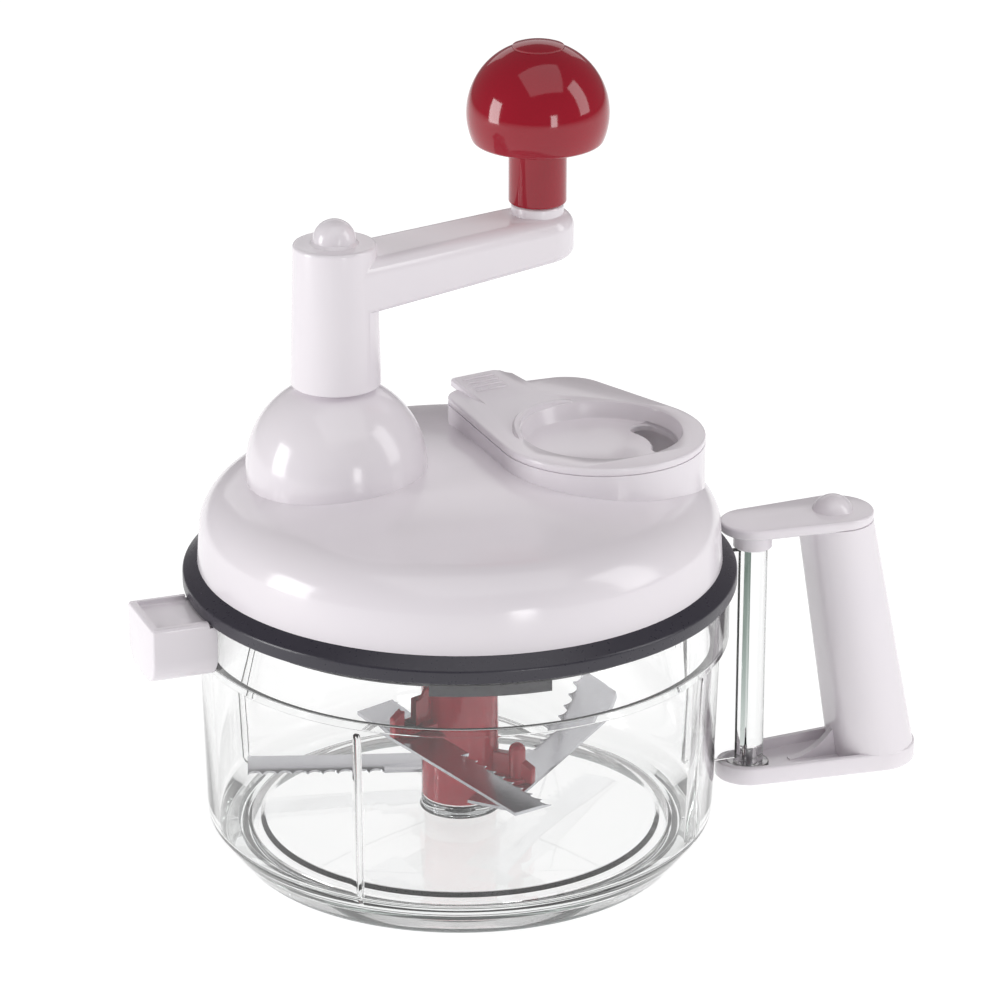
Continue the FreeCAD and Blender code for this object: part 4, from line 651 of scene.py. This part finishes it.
def through(a, b, c, count):
    """Points on the arc through three (r, z) points."""
    ax, ay, bx, by, cx, cy = (*a, *b, *c)
    d = 2 * (ax * (by - cy) + bx * (cy - ay) + cx * (ay - by))
    aa, bb, cc = ax * ax + ay * ay, bx * bx + by * by, cx * cx + cy * cy
    ux = (aa * (by - cy) + bb * (cy - ay) + cc * (ay - by)) / d
    uy = (aa * (cx - bx) + bb * (ax - cx) + cc * (bx - ax)) / d
    first, last = math.atan2(ay - uy, ax - ux), math.atan2(cy - uy, cx - ux)
    return arc(ux, uy, math.hypot(ax - ux, ay - uy), first, last, count)


def lid_section(inset, foot):
    """Half section of the lid, drawn in by the inset."""
    bend = inset * math.cos(math.radians(45))
    top = [(r, z - inset) for r, z in CROWN]
    crown = through(*top, 24)
    shoulder = through(top[-1], (SHOULDER[0] - bend, SHOULDER[1] - bend),
                       (SHOULDER_END[0] - inset, SHOULDER_END[1] - inset), 16)
    return crown + shoulder[1:] + [(SHELL_R - inset, foot), (0, foot)]


# %% Lid shell, hollow
lid = turned("lid_shell_white", lid_section(0, SHELL_FOOT), ROUND_STEPS)
lid_inside = turned("lid inside", lid_section(SHELL_T, SHELL_FOOT - 1.5), ROUND_STEPS)


def ball_cap(name, inset):
    """The tower's ball between the crown and the bush, drawn in by the inset."""
    radius, high, low = DOME_R - inset, DOME_TOP - inset, DOME_LOW
    first, last = math.asin((high - DOME_CENTRE) / radius), math.asin((low - DOME_CENTRE) / radius)
    side = arc(0, DOME_CENTRE, radius, first, last, 48)
    return turned(name, [(0, high)] + side + [(0, low)], 160, TOWER_X, TOWER_Y)


unite(lid, ball_cap("dome", 0))
unite(lid_inside, ball_cap("dome inside", SHELL_T))
cut(lid, lid_inside)
print("lid shell, faces:", len(lid.data.polygons))

# %% Bosses, chute and ways through the lid
bush_tower = post("bush tower", BUSH_HOUSE_R, 136.6, DOME_TOP - 1.1, TOWER_X, TOWER_Y)
pin_boss = post("pin boss", 5.0, 113.3, 123.1)
chute = raised("chute", chute_outline(0), BASE_TOP, CHUTE_RIM)
unite(lid, bush_tower, pin_boss, chute)
boss_line = belt([(BOSS_REACH, 0, 3.5), (BOSS_END, 0, 1.6)], 12)
for angle in BOSS_ANGLES:
    unite(lid, placed(raised("boss", boss_line, BASE_TOP, 107.5), angle))
feed = raised("feed", chute_outline(FEED_T), BASE_TOP - 5, CHUTE_RIM + 5)
bush_way = post("bush way", BUSH_R + BUSH_ROOM, 138.8, DOME_TOP + 5, TOWER_X, TOWER_Y)
shaft_way = post("shaft way", 4.5, 126.8, DOME_TOP + 5, TOWER_X, TOWER_Y)
pin_way = post("pin way", PIN_R + PIN_ROOM, 103.0, 116.6)
cut(lid, feed, bush_way, shaft_way, pin_way)
piece(lid, WHITE_ABS, "lid", "lid_shell")

# %% [markdown]
# ## The lid base
# The dark base carries the gears. Its outer ring covers the bowl's rim, and a skirt with four lugs goes
# into the collar. The feed opening goes through it.

# %% Lid base
SKIRT_R, SKIRT_T, SKIRT_LOW, PLATE_Z = 77.6, 2.4, 84.5, 92.0
RING_EDGE_R, RING_LOW, RING_SEAT_R, RING_SEAT_Z = 85.0, 88.2, 83.4, 90.75
LIP_IN, LIP_OUT, LIP_TOP = 75.9, 77.9, 98.0
CATCH_REACH, CATCH_FROM, CATCH_TO, CATCH_FOOT, CATCH_TOP = 2.4, 16.5, 42.5, 82.7, 86.1
BEARING_R, BEARING_TOP, JOURNAL_WAY_R, BUSH_SEAT_TOP = 7.25, 102.2, 5.25, 98.0
base_section = rounded([
    (0, PLATE_Z, 0), (SKIRT_R - SKIRT_T, PLATE_Z, 0.6), (SKIRT_R - SKIRT_T, SKIRT_LOW, 0.4),
    (SKIRT_R, SKIRT_LOW, 0.4), (SKIRT_R, RING_SEAT_Z, 0), (RING_SEAT_R, RING_SEAT_Z, 0), (RING_SEAT_R, RING_LOW, 0.4),
    (RING_EDGE_R, RING_LOW, 0.7), (RING_EDGE_R, 92.4, 1.1), (SHELL_R, SHELL_FOOT, 0.2), (LIP_OUT, SHELL_FOOT, 0),
    (LIP_OUT, LIP_TOP, 0.4), (LIP_IN, LIP_TOP, 0.4), (LIP_IN, BASE_TOP, 0), (0, BASE_TOP, 0)])
base = turned("lid_base_dark", base_section, ROUND_STEPS)
catch = sector("catch", SKIRT_R + CATCH_REACH, SKIRT_R - SKIRT_T / 2, RIB_FIRST + CATCH_FROM, RIB_FIRST + CATCH_TO,
               CATCH_FOOT, CATCH_TOP)
catches = repeat(catch, RIBS, RIB_STEP, DARK_ABS)
bearing = post("bearing", BEARING_R, PLATE_Z, BEARING_TOP)
bush_seat = post("bush seat", BUSH_HOUSE_R, PLATE_Z, BUSH_SEAT_TOP, TOWER_X, TOWER_Y)
unite(base, catches, bearing, bush_seat)
journal_way = post("journal way", JOURNAL_WAY_R, PLATE_Z - 4, 105)
bush_hole = post("bush hole", BUSH_R + BUSH_ROOM, PLATE_Z + 0.8, 102, TOWER_X, TOWER_Y)
base_feed = raised("base feed", chute_outline(FEED_T), PLATE_Z - 4, BASE_TOP + 1)
lip_feed = raised("lip feed", chute_outline(-0.3), BASE_TOP, 102)
cut(base, journal_way, bush_hole, base_feed, lip_feed)
boss_room = belt([(BOSS_REACH, 0, 3.8), (BOSS_END, 0, 1.9)], 12)
for angle in BOSS_ANGLES:
    cut(base, placed(raised("boss room", boss_room, BASE_TOP, 102), angle),
        placed(post("screw way", 1.65, PLATE_Z - 4, BASE_TOP + 4, BOSS_REACH), angle))
piece(base, DARK_ABS, "lid", "lid_base")

# %% Rim seal
SEAL_IN, SEAL_OUT, SEAL_LOW, SEAL_TOP, SEAL_SOFT = 79.7, 83.1, 88.9, 90.7, 0.3
seal_side = rounded([(SEAL_IN, SEAL_LOW, SEAL_SOFT), (SEAL_OUT, SEAL_LOW, SEAL_SOFT),
                     (SEAL_OUT, SEAL_TOP, SEAL_SOFT), (SEAL_IN, SEAL_TOP, SEAL_SOFT)])
piece(turned("rim_seal_soft", seal_side, ROUND_STEPS), SOFT_GREY, "seal", "rim_seal")

# %% [markdown]
# ## The crank
# The hub is a tall cup over the shaft. The arm rises a little towards the knob. It is a belt outline in
# plan, with its top and underside on two slopes, so each point of the outline gets its own two heights.

# %% Crank arm
HUB_FOOT, HUB_TOP, HUB_FOOT_R, HUB_TOP_R = 151.1, 195.5, 13.8, 12.6
ARM_REACH, ARM_ANGLE = 70.0, 9.0
ROOT_R, END_R = 12.4, 11.2
ARM_ROOT_LOW, ARM_ROOT_TOP, LOW_RISE, TOP_RISE = 174.6, 191.3, 5.8, 3.2
TOP_ROUND, LOW_ROUND = 5.0, 2.4
END_BOSS_LOW, END_BOSS_TOP, END_BOSS_LOW_R, END_BOSS_TOP_R = 182.8, 197.2, 8.8, 8.0
SPINDLE_R, SHAFT_R, SHAFT_TOP, WELL_R = 3.0, 4.0, 184.0, 4.1


def arm_ring(inset, low_lift, high_drop, top):
    """Outline of the arm drawn in by the inset, on its sloping underside or its sloping top."""
    ring = []
    for p in belt([(0, 0, ROOT_R - inset), (ARM_REACH, 0, END_R - inset)], 48):
        share = p[0] / ARM_REACH
        z = ARM_ROOT_TOP + TOP_RISE * share - high_drop if top else ARM_ROOT_LOW + LOW_RISE * share + low_lift
        ring.append((p[0], p[1], z))
    return ring


def quarter(steps):
    """Angles of a quarter turn."""
    return [math.pi / 2 * k / steps for k in range(steps + 1)]


arm_rings = [arm_ring(LOW_ROUND * (1 - math.sin(t)), LOW_ROUND * (1 - math.cos(t)), 0, False)
             for t in quarter(8)]
arm_rings += [arm_ring(TOP_ROUND * (1 - math.cos(t)), 0, TOP_ROUND * (1 - math.sin(t)), True)
              for t in quarter(12)]
arm_bar = rings("arm bar", arm_rings)
print("crank bar, faces:", len(arm_bar.data.polygons))

# %% Crank hub and end boss
hub_side = [(0, HUB_FOOT, 0), (HUB_FOOT_R, HUB_FOOT, 0.5), (HUB_TOP_R, HUB_TOP, 1.0), (0, HUB_TOP, 0)]
crank = turned("crank_arm_white", rounded(hub_side), 128)
boss_side = [(0, END_BOSS_LOW, 0), (END_BOSS_LOW_R, END_BOSS_LOW, 0), (END_BOSS_TOP_R, END_BOSS_TOP, 0.8),
             (0, END_BOSS_TOP, 0)]
unite(crank, arm_bar, turned("arm boss", rounded(boss_side), 96, ARM_REACH))
well = post("well", WELL_R, 186.0, HUB_TOP + 4)
shaft_hole = post("shaft hole", SHAFT_R, 145, SHAFT_TOP)
screw_way = post("screw way", 2.05, 180, 190)
spindle_hole = post("spindle hole", SPINDLE_R, 183.5, 200, ARM_REACH)
cut(crank, well, shaft_hole, screw_way, spindle_hole)
placed(crank, ARM_ANGLE, TOWER_X, TOWER_Y)
piece(crank, WHITE_ABS, "crank", "crank_arm", crease=40)

# %% Crank cap
BUTTON_R, BUTTON_RISE, FLANGE_R, STEM_R, STEM_H = 6.6, 0.8, 7.4, 4.05, 2.5
button_side = [(0, HUB_TOP - STEM_H), (STEM_R, HUB_TOP - STEM_H), (STEM_R, HUB_TOP), (FLANGE_R, HUB_TOP)]
button_side += arc(0, HUB_TOP + BUTTON_RISE, BUTTON_R, 0, math.pi / 2, 16)
piece(turned("crank_cap_white", button_side, 96, TOWER_X, TOWER_Y), WHITE_ABS, "crank", "crank_cap")

# %% [markdown]
# ## The knob
# A ball on a straight neck, turned from one section. Its underside is flattened, and a disc with the same
# curve closes the hole for the spindle.

# %% Knob
KNOB_X = TOWER_X + ARM_REACH * math.cos(math.radians(ARM_ANGLE))
KNOB_Y = TOWER_Y + ARM_REACH * math.sin(math.radians(ARM_ANGLE))
KNOB_R, KNOB_Z, KNOB_FLAT, EDGE_ROUND = 21.8, 226.0, 216.7, 2.0
NECK_R, NECK_Z, NECK_SOFT, NECK_FILLET = 8.9, 197.5, 0.8, 0.6
CAP_SEAT_R, CAP_SEAT_DEPTH, HEAD_ROOM_R, HEAD_ROOM_Z = 7.9, 3.0, 5.5, 235.7
BORE_R = SPINDLE_R + 0.05
cap_z = KNOB_Z + math.sqrt(KNOB_R ** 2 - CAP_SEAT_R ** 2)
edge_r = math.sqrt((KNOB_R - EDGE_ROUND) ** 2 - (KNOB_Z - KNOB_FLAT - EDGE_ROUND) ** 2)
under = math.atan2(KNOB_FLAT + EDGE_ROUND - KNOB_Z, edge_r)
over = math.atan2(cap_z - KNOB_Z, CAP_SEAT_R)
knob_section = [(BORE_R, NECK_Z), (NECK_R - NECK_SOFT, NECK_Z)]
knob_section += [(NECK_R - NECK_SOFT + NECK_SOFT * math.sin(t), NECK_Z + NECK_SOFT - NECK_SOFT * math.cos(t))
                 for t in quarter(5)]
knob_section += [(NECK_R + NECK_FILLET - NECK_FILLET * math.cos(t),
                  KNOB_FLAT - NECK_FILLET + NECK_FILLET * math.sin(t)) for t in quarter(5)]
knob_section += arc(edge_r, KNOB_FLAT + EDGE_ROUND, EDGE_ROUND, -math.pi / 2, under, 8)[:-1]
knob_section += arc(0, KNOB_Z, KNOB_R, under, over, 48)
knob_section += [(CAP_SEAT_R, cap_z - CAP_SEAT_DEPTH), (HEAD_ROOM_R, cap_z - CAP_SEAT_DEPTH),
                 (HEAD_ROOM_R, HEAD_ROOM_Z), (BORE_R, HEAD_ROOM_Z)]
piece(turned("knob_red", knob_section, 160, KNOB_X, KNOB_Y), RED_ABS, "knob", "knob")

# %% Knob cap
KNOB_CAP_PROUD, KNOB_CAP_ROOM, KNOB_CAP_T = 0.5, 0.05, 2.8
cap_r, cap_side_r = KNOB_R + KNOB_CAP_PROUD, CAP_SEAT_R - KNOB_CAP_ROOM
knob_cap_side = [(0, cap_z - KNOB_CAP_T), (cap_side_r, cap_z - KNOB_CAP_T)]
knob_cap_side += arc(0, KNOB_Z, cap_r, math.acos(cap_side_r / cap_r), math.pi / 2, 12)
piece(turned("knob_cap_red", knob_cap_side, 96, KNOB_X, KNOB_Y), RED_ABS, "knob", "knob_cap")

# %% [markdown]
# ## The feed stopper
# It drops into the chute. Its top is a plate with a shallow round funnel, a low lip round the back of the
# funnel, a curved slot for pouring, and a thumb tab with four ribs. The ribs come from the tree that copies
# along a line.

# %% Stopper plate and funnel
STOPPER_T, SKIRT_DEPTH, SKIRT_PLAY, SKIRT_WALL = 2.5, 17.0, 0.35, 1.8
TOP = CHUTE_RIM + STOPPER_T
FUNNEL_X, FUNNEL_Y, FUNNEL_R, FUNNEL_FLOOR = 44.6, -4.3, 25.2, 126.3
FUNNEL_SIDE = ((22.6, FUNNEL_FLOOR), (23.6, FUNNEL_FLOOR + 0.4), (24.1, FUNNEL_FLOOR + 1.4), (24.6, TOP - 1.0),
               (24.9, TOP - 0.35), (25.5, TOP), (25.5, TOP + 10))


def disc(radius, z):
    """Ring of points round the funnel's axis."""
    turns = [2 * math.pi * k / 128 for k in range(128)]
    return [(FUNNEL_X + radius * math.cos(a), FUNNEL_Y + radius * math.sin(a), z) for a in turns]


stopper = soften(raised("feed_stopper_white", chute_outline(0), CHUTE_RIM, TOP), 0.7, 40, 3)
unite(stopper, raised("skirt", chute_outline(FEED_T + SKIRT_PLAY), CHUTE_RIM - SKIRT_DEPTH, CHUTE_RIM + 0.2))
print("stopper plate and skirt, faces:", len(stopper.data.polygons))

# %% Thumb tab
TAB_X, TAB_Y, TAB_TURN = 14.4, 47.8, 11.0
TAB_WIDTH, TAB_LENGTH, TAB_RISE, TAB_T, TAB_RAMP = 22.5, 20.0, 2.4, 2.4, 6.0
TAB_RIBS, TAB_RIB_PITCH, TAB_RIB_R = 4, 2.8, 0.5
# Each place along a rib with its radius there: the ends thin out.
TAB_RIB_LINE = ((2.4, 0.05), (2.8, 0.36), (3.3, TAB_RIB_R), (13.2, TAB_RIB_R), (13.7, 0.36), (14.1, 0.05))


def tab_ring(y):
    """Section of the tab across its width: level, then ramped down on its right side."""
    rise = TAB_RISE * (1 + y / TAB_LENGTH)
    ramp = TAB_WIDTH - TAB_RAMP
    under = [(0, TOP - TAB_T + rise), (TAB_WIDTH, TOP - TAB_T + min(rise, 0.4))]
    over = [(TAB_WIDTH, 0.0), (ramp + 3.6, rise * 0.32), (ramp + 1.6, rise * 0.72), (ramp - 0.8, rise * 0.97),
            (ramp - 3.0, rise), (0.7, rise), (0.0, rise - 0.6)]
    return [(x, y, z) for x, z in under] + [(x, y, TOP + z) for x, z in over]


tab = rings("tab", [tab_ring(-TAB_LENGTH + TAB_LENGTH * k / 8) for k in range(9)])
rib_z = TOP + TAB_RISE * (1 - TAB_RIB_PITCH / TAB_LENGTH)
rib_turns = [2 * math.pi * k / 16 for k in range(16)]
tab_rib = rings("tab rib", [[(x, -TAB_RIB_PITCH + r * math.cos(t), rib_z + r * math.sin(t)) for t in rib_turns]
                            for x, r in TAB_RIB_LINE])
tab_ribs = row(tab_rib, TAB_RIBS, (0, -TAB_RIB_PITCH, -TAB_RISE * TAB_RIB_PITCH / TAB_LENGTH), WHITE_ABS)
unite(tab, tab_ribs)
print("tab with its ribs, faces:", len(tab.data.polygons))
unite(stopper, placed(tab, TAB_TURN, TAB_X, TAB_Y))

# %% Funnel and lip
hollow = raised("stopper hollow", chute_outline(FEED_T + SKIRT_PLAY + SKIRT_WALL), CHUTE_RIM - 18.0,
                FUNNEL_FLOOR - 2.0)
cut(stopper, rings("funnel", [disc(r, z) for r, z in FUNNEL_SIDE]), hollow)
LIP_FIRST, LIP_LAST, LIP_T, LIP_H, LIP_STEPS = 88, 180, 2.2, 2.2, 48
lip_rings = []
for k in range(LIP_STEPS + 1):
    angle = math.radians(LIP_FIRST + (LIP_LAST - LIP_FIRST) * k / LIP_STEPS)
    lift = LIP_H * math.sin(math.pi * k / LIP_STEPS) ** 0.5 - 0.25
    outline = [(FUNNEL_R, -2.2), (FUNNEL_R + LIP_T, -2.2), (FUNNEL_R + LIP_T, lift - 0.7),
               (FUNNEL_R + LIP_T - 0.7, lift), (FUNNEL_R + 0.5, lift), (FUNNEL_R, lift - 0.5)]
    lip_rings.append([(FUNNEL_X + r * math.cos(angle), FUNNEL_Y + r * math.sin(angle), TOP + z)
                      for r, z in outline])
unite(stopper, rings("lip", lip_rings))
print("stopper with funnel and lip, faces:", len(stopper.data.polygons))

# %% Pouring slot
SLOT_PATH_R, SLOT_HALF, SLOT_TURN, SLOT_FLARE = 20.0, 4.4, math.radians(26), 0.5


def slot_side(radius, way):
    """One long side of the slot, walked one way or the other."""
    turns = [SLOT_TURN * way * (k / 12 - 1) for k in range(25)]
    return [(radius * math.cos(a), radius * math.sin(a)) for a in turns]


def slot_end(half, side):
    """The round end of the slot on one side."""
    x, y = SLOT_PATH_R * math.cos(SLOT_TURN), side * SLOT_PATH_R * math.sin(SLOT_TURN)
    turn = side * SLOT_TURN + (0 if side > 0 else math.pi)
    turns = [turn + math.pi * k / 12 for k in range(1, 12)]
    return [(x + half * math.cos(a), y + half * math.sin(a)) for a in turns]


def slot_ring(half, z):
    """Outline of the curved slot with round ends."""
    ring = slot_side(SLOT_PATH_R + half, 1) + slot_end(half, 1)
    ring += slot_side(SLOT_PATH_R - half, -1) + slot_end(half, -1)
    return [(FUNNEL_X + x, FUNNEL_Y + y, z) for x, y in ring]


slot_way = rings("slot way", [slot_ring(SLOT_HALF, CHUTE_RIM - 18), slot_ring(SLOT_HALF, FUNNEL_FLOOR - 0.5),
                              slot_ring(SLOT_HALF + SLOT_FLARE, FUNNEL_FLOOR),
                              slot_ring(SLOT_HALF + SLOT_FLARE, FUNNEL_FLOOR + 1)])
cut(stopper, slot_way)
piece(stopper, WHITE_ABS, "stopper", "feed_stopper")

# %% [markdown]
# ## The rotor
# The red hub is a tall tube with three webs. Each web ends in a pad and a round-topped peg over its blade.

# %% Blade hub
HUB_R, ROTOR_LOW, ROTOR_TOP = 12.0, 15.7, 91.5
CUP_WAY_R, CUP_DEPTH = 8.6, 8.0
BLADES = [("blade_low", 17.0, 164.0), ("blade_middle", 22.4, 44.0), ("blade_high", 39.5, -76.0)]
BLADE_GAP, BLADE_T, BLADE_W = 0.3, 1.0, 13.0
BLADE_LINE = HUB_R + BLADE_GAP + BLADE_W / 2
PAD_R, PAD_T, WEB_HALF, WEB_END_H, WEB_H = 4.4, 1.6, 1.5, 5.0, 9.0
PEG_R, PEG_H, PEG_OUT = 2.6, 10.3, 0.8
DOG_OUT, DOG_IN, DOG_HALF_TURN, DOG_DROP = 9.6, 4.5, 25, 1.0
cup_floor = ROTOR_TOP - CUP_DEPTH
rotor = turned("blade_hub_red", rounded([
    (BORE_R, ROTOR_LOW, 0.2), (HUB_R, ROTOR_LOW, 0.8), (HUB_R, ROTOR_TOP, 0.8), (CUP_WAY_R, ROTOR_TOP, 0.4),
    (CUP_WAY_R, cup_floor, 0), (BORE_R, cup_floor, 0)]), 128)
for name, height, angle in BLADES:
    z = height + BLADE_T
    y = -BLADE_LINE
    pad = post("pad", PAD_R, z, z + PAD_T, 0, y, soft=0.4)
    bridge = block("bridge", (-PAD_R, y, z), (PAD_R, -HUB_R / 2, z + PAD_T), 0.3)
    far = y - BLADE_W / 2
    web_side = [(-HUB_R / 2, z), (far, z), (far, z + WEB_END_H), (y, z + WEB_H), (-HUB_R / 2, z + WEB_H)]
    web = soften(rings("web", [[(x, p[0], p[1]) for p in web_side] for x in (-WEB_HALF, WEB_HALF)]), 0.4)
    peg_side = [(0, z), (PEG_R, z)] + arc(0, z + PEG_H, PEG_R, 0, math.pi / 2, 10)
    peg = turned("peg", peg_side, 48, 0, y - PEG_OUT)
    unite(rotor, *[placed(tool, angle) for tool in (pad, bridge, web, peg)])
cut(rotor, post("cup way", CUP_WAY_R, cup_floor, ROTOR_TOP + 4))
for side in (90, 270):
    unite(rotor, sector("dog", DOG_OUT, DOG_IN, side - DOG_HALF_TURN, side + DOG_HALF_TURN, cup_floor,
                        ROTOR_TOP - DOG_DROP))
piece(rotor, HUB_RED, "rotor", "blade_hub")

# %% [markdown]
# ## The blades
# Each blade is a straight strip of ground stainless steel. Its cutting edge is scalloped, and each scallop
# is ground to a bevel from above. The outline walks along the edge scallop by scallop.

# %% Blades
SCALLOPS, SCALLOP_START, TIP, TAIL, SCALLOP_DEPTH = 9, 23.0, 66.5, 20.0, 2.1
EDGE_T, GRIND_W, RIVET_WAY_R = 0.3, 3.2, 1.6


def blade(name, height, angle):
    lead = -(HUB_R + BLADE_GAP)
    back = lead - BLADE_W
    pitch = (TIP - SCALLOP_START) / SCALLOPS
    edge = []
    for i in range(SCALLOPS):
        right = TIP - pitch * i
        edge += through((right, lead), (right - pitch / 2, lead - SCALLOP_DEPTH), (right - pitch, lead), 10)[:-1]
    outline = [(-TAIL, lead), (-TAIL, back), (TIP, back)] + edge + [(SCALLOP_START, lead)]
    sheet = raised(name, outline, 0, BLADE_T)
    bevel = [(lead + 1, EDGE_T), (lead, EDGE_T), (lead - GRIND_W, BLADE_T), (lead + 1, BLADE_T + 1)]
    grind = rings("grind", [[(x, p[0], p[1]) for p in bevel] for x in (SCALLOP_START, TIP + 5)])
    cut(sheet, grind, post("hole", RIVET_WAY_R, -2, 4, 0, -BLADE_LINE))
    return placed(sheet, angle, z=height)


for name, height, angle in BLADES:
    piece(blade(name + "_steel", height, angle), BLADE_STEEL, "rotor", name, crease=20)

# %% [markdown]
# ## What stays from CAD
# Shafts, screws, bushes and gears are shapes that CAD already gives exactly, so they keep their CAD mesh
# and get the finish of their material.

# %% Metal and acetal parts
METAL_NODES = ("centre_pin", "handle_tie_screw", "handle_column_screw", "lid_base_screws", "crank_shaft",
               "gear_snap_ring", "crank_screw", "knob_spindle", "blade_rivets")
ACETAL_NODES = ("upper_bush", "lower_bush", "drive_gear", "pinion")
for nodes, finish in ((METAL_NODES, TURNED_STEEL), (ACETAL_NODES, ACETAL)):
    for node in nodes:
        shade(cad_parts[node], finish, 28)
print("nodes with their CAD mesh:", len(METAL_NODES) + len(ACETAL_NODES))

# %% [markdown]
# ## The studio
# The photograph was taken with a long lens from a little above. The camera stands on the same line, and
# wide soft lights stand to the left, to the right, in front, above and behind, over a pale floor.

# %% Camera
AZIMUTH, ELEVATION, DISTANCE, AIM_Z = -20.0, 21.395, 1525.4, 112.9
YAW, ROLL = -0.0086, 0.0025


def direction(azimuth, elevation):
    """Unit vector from the object towards a light or the camera, from angles in degrees."""
    a, e = math.radians(azimuth), math.radians(elevation)
    return Vector((math.sin(a) * math.cos(e), -math.cos(a) * math.cos(e), math.sin(e)))


back = direction(AZIMUTH, ELEVATION)
place = Vector((0, 0, AIM_Z)) + back * DISTANCE
forward = Matrix.Rotation(YAW, 3, "Z") @ -back
right = forward.cross(Vector((0, 0, 1))).normalized()
up = right.cross(forward)
right, up = (right * math.cos(ROLL) + up * math.sin(ROLL), up * math.cos(ROLL) - right * math.sin(ROLL))
pose = Matrix((right, up, -forward)).transposed().to_4x4()
pose.translation = place * MM
camera_data = bpy.data.cameras.new("long lens")
camera_data.sensor_width = 36.0
camera_data.lens = 180.0
camera = bpy.data.objects.new("camera", camera_data)
camera.matrix_world = pose
bpy.context.scene.collection.objects.link(camera)
bpy.context.scene.camera = camera
print("camera, mm:", [round(v, 1) for v in place])

# %% [markdown]
# The floor glows evenly, as a lit sweep does, and fades with distance. The dark beyond it is what draws the
# edges of clear plastic: an all white room would make the bowl vanish.

# %% Floor
FLOOR_R, FLOOR_GLOW, GLOW_FULL, GLOW_END, GLOW_FAR, FLOOR_GREY = 6000.0, 0.93, 1.0, 2.6, 0.12, 0.25


def studio_floor():
    material, tree = started("pale studio floor")
    place = add(tree, "ShaderNodeTexCoord")
    far = add(tree, "ShaderNodeVectorMath", {"operation": "LENGTH"}, {0: place.outputs["Object"]})
    glow = add(tree, "ShaderNodeMapRange",
               inputs={"Value": far.outputs["Value"], "From Min": GLOW_FULL, "From Max": GLOW_END,
                       "To Min": FLOOR_GLOW, "To Max": GLOW_FAR})
    shader = add(tree, "ShaderNodeBsdfPrincipled",
                 inputs={"Base Color": (FLOOR_GREY, FLOOR_GREY, FLOOR_GREY, 1), "Roughness": 0.9,
                         "Specular IOR Level": 0.0, "Emission Color": (1, 1, 1, 1),
                         "Emission Strength": glow.outputs["Result"]})
    add(tree, "ShaderNodeOutputMaterial", inputs={"Surface": shader.outputs[0]})
    bm = bmesh.new()
    bmesh.ops.create_circle(bm, cap_ends=True, segments=96, radius=FLOOR_R)
    floor = put("floor", bm)
    floor.data.materials.append(material)
    if floor.data.polygons[0].normal.z < 0:
        floor.data.flip_normals()
    return floor


studio_floor()


# %% Lights
def softbox(name, azimuth, elevation, distance, width, height, power, aim_z=110.0):
    """An area light on a sphere round the object, facing it."""
    data = bpy.data.lights.new(name, "AREA")
    data.shape = "RECTANGLE"
    data.size, data.size_y = width * MM, height * MM
    data.energy = power
    light = bpy.data.objects.new(name, data)
    way = direction(azimuth, elevation)
    light.location = (Vector((0, 0, aim_z)) + way * distance) * MM
    light.rotation_euler = way.to_track_quat("Z", "Y").to_euler()
    bpy.context.scene.collection.objects.link(light)


softbox("left softbox", -96, 6, 1200, 420, 800, 8.0)
softbox("front window", 6, 2, 1500, 260, 480, 2.6, 180.0)
softbox("right softbox", 62, 26, 1200, 420, 900, 3.6)
softbox("overhead", 0, 72, 1500, 1500, 1300, 6.0)
softbox("back card", 160, 24, 1600, 1500, 600, 2.2)
print("softboxes:", len(bpy.data.lights))

# %% Room
WORLD_COLOUR, WORLD_STRENGTH = (1, 0.95, 0.97, 1), 0.22
world = bpy.data.worlds.new("pale studio")
world.use_nodes = True
background = world.node_tree.nodes["Background"]
background.inputs["Color"].default_value = WORLD_COLOUR
background.inputs["Strength"].default_value = WORLD_STRENGTH
bpy.context.scene.world = world
bpy.context.scene.view_settings.view_transform = "Standard"
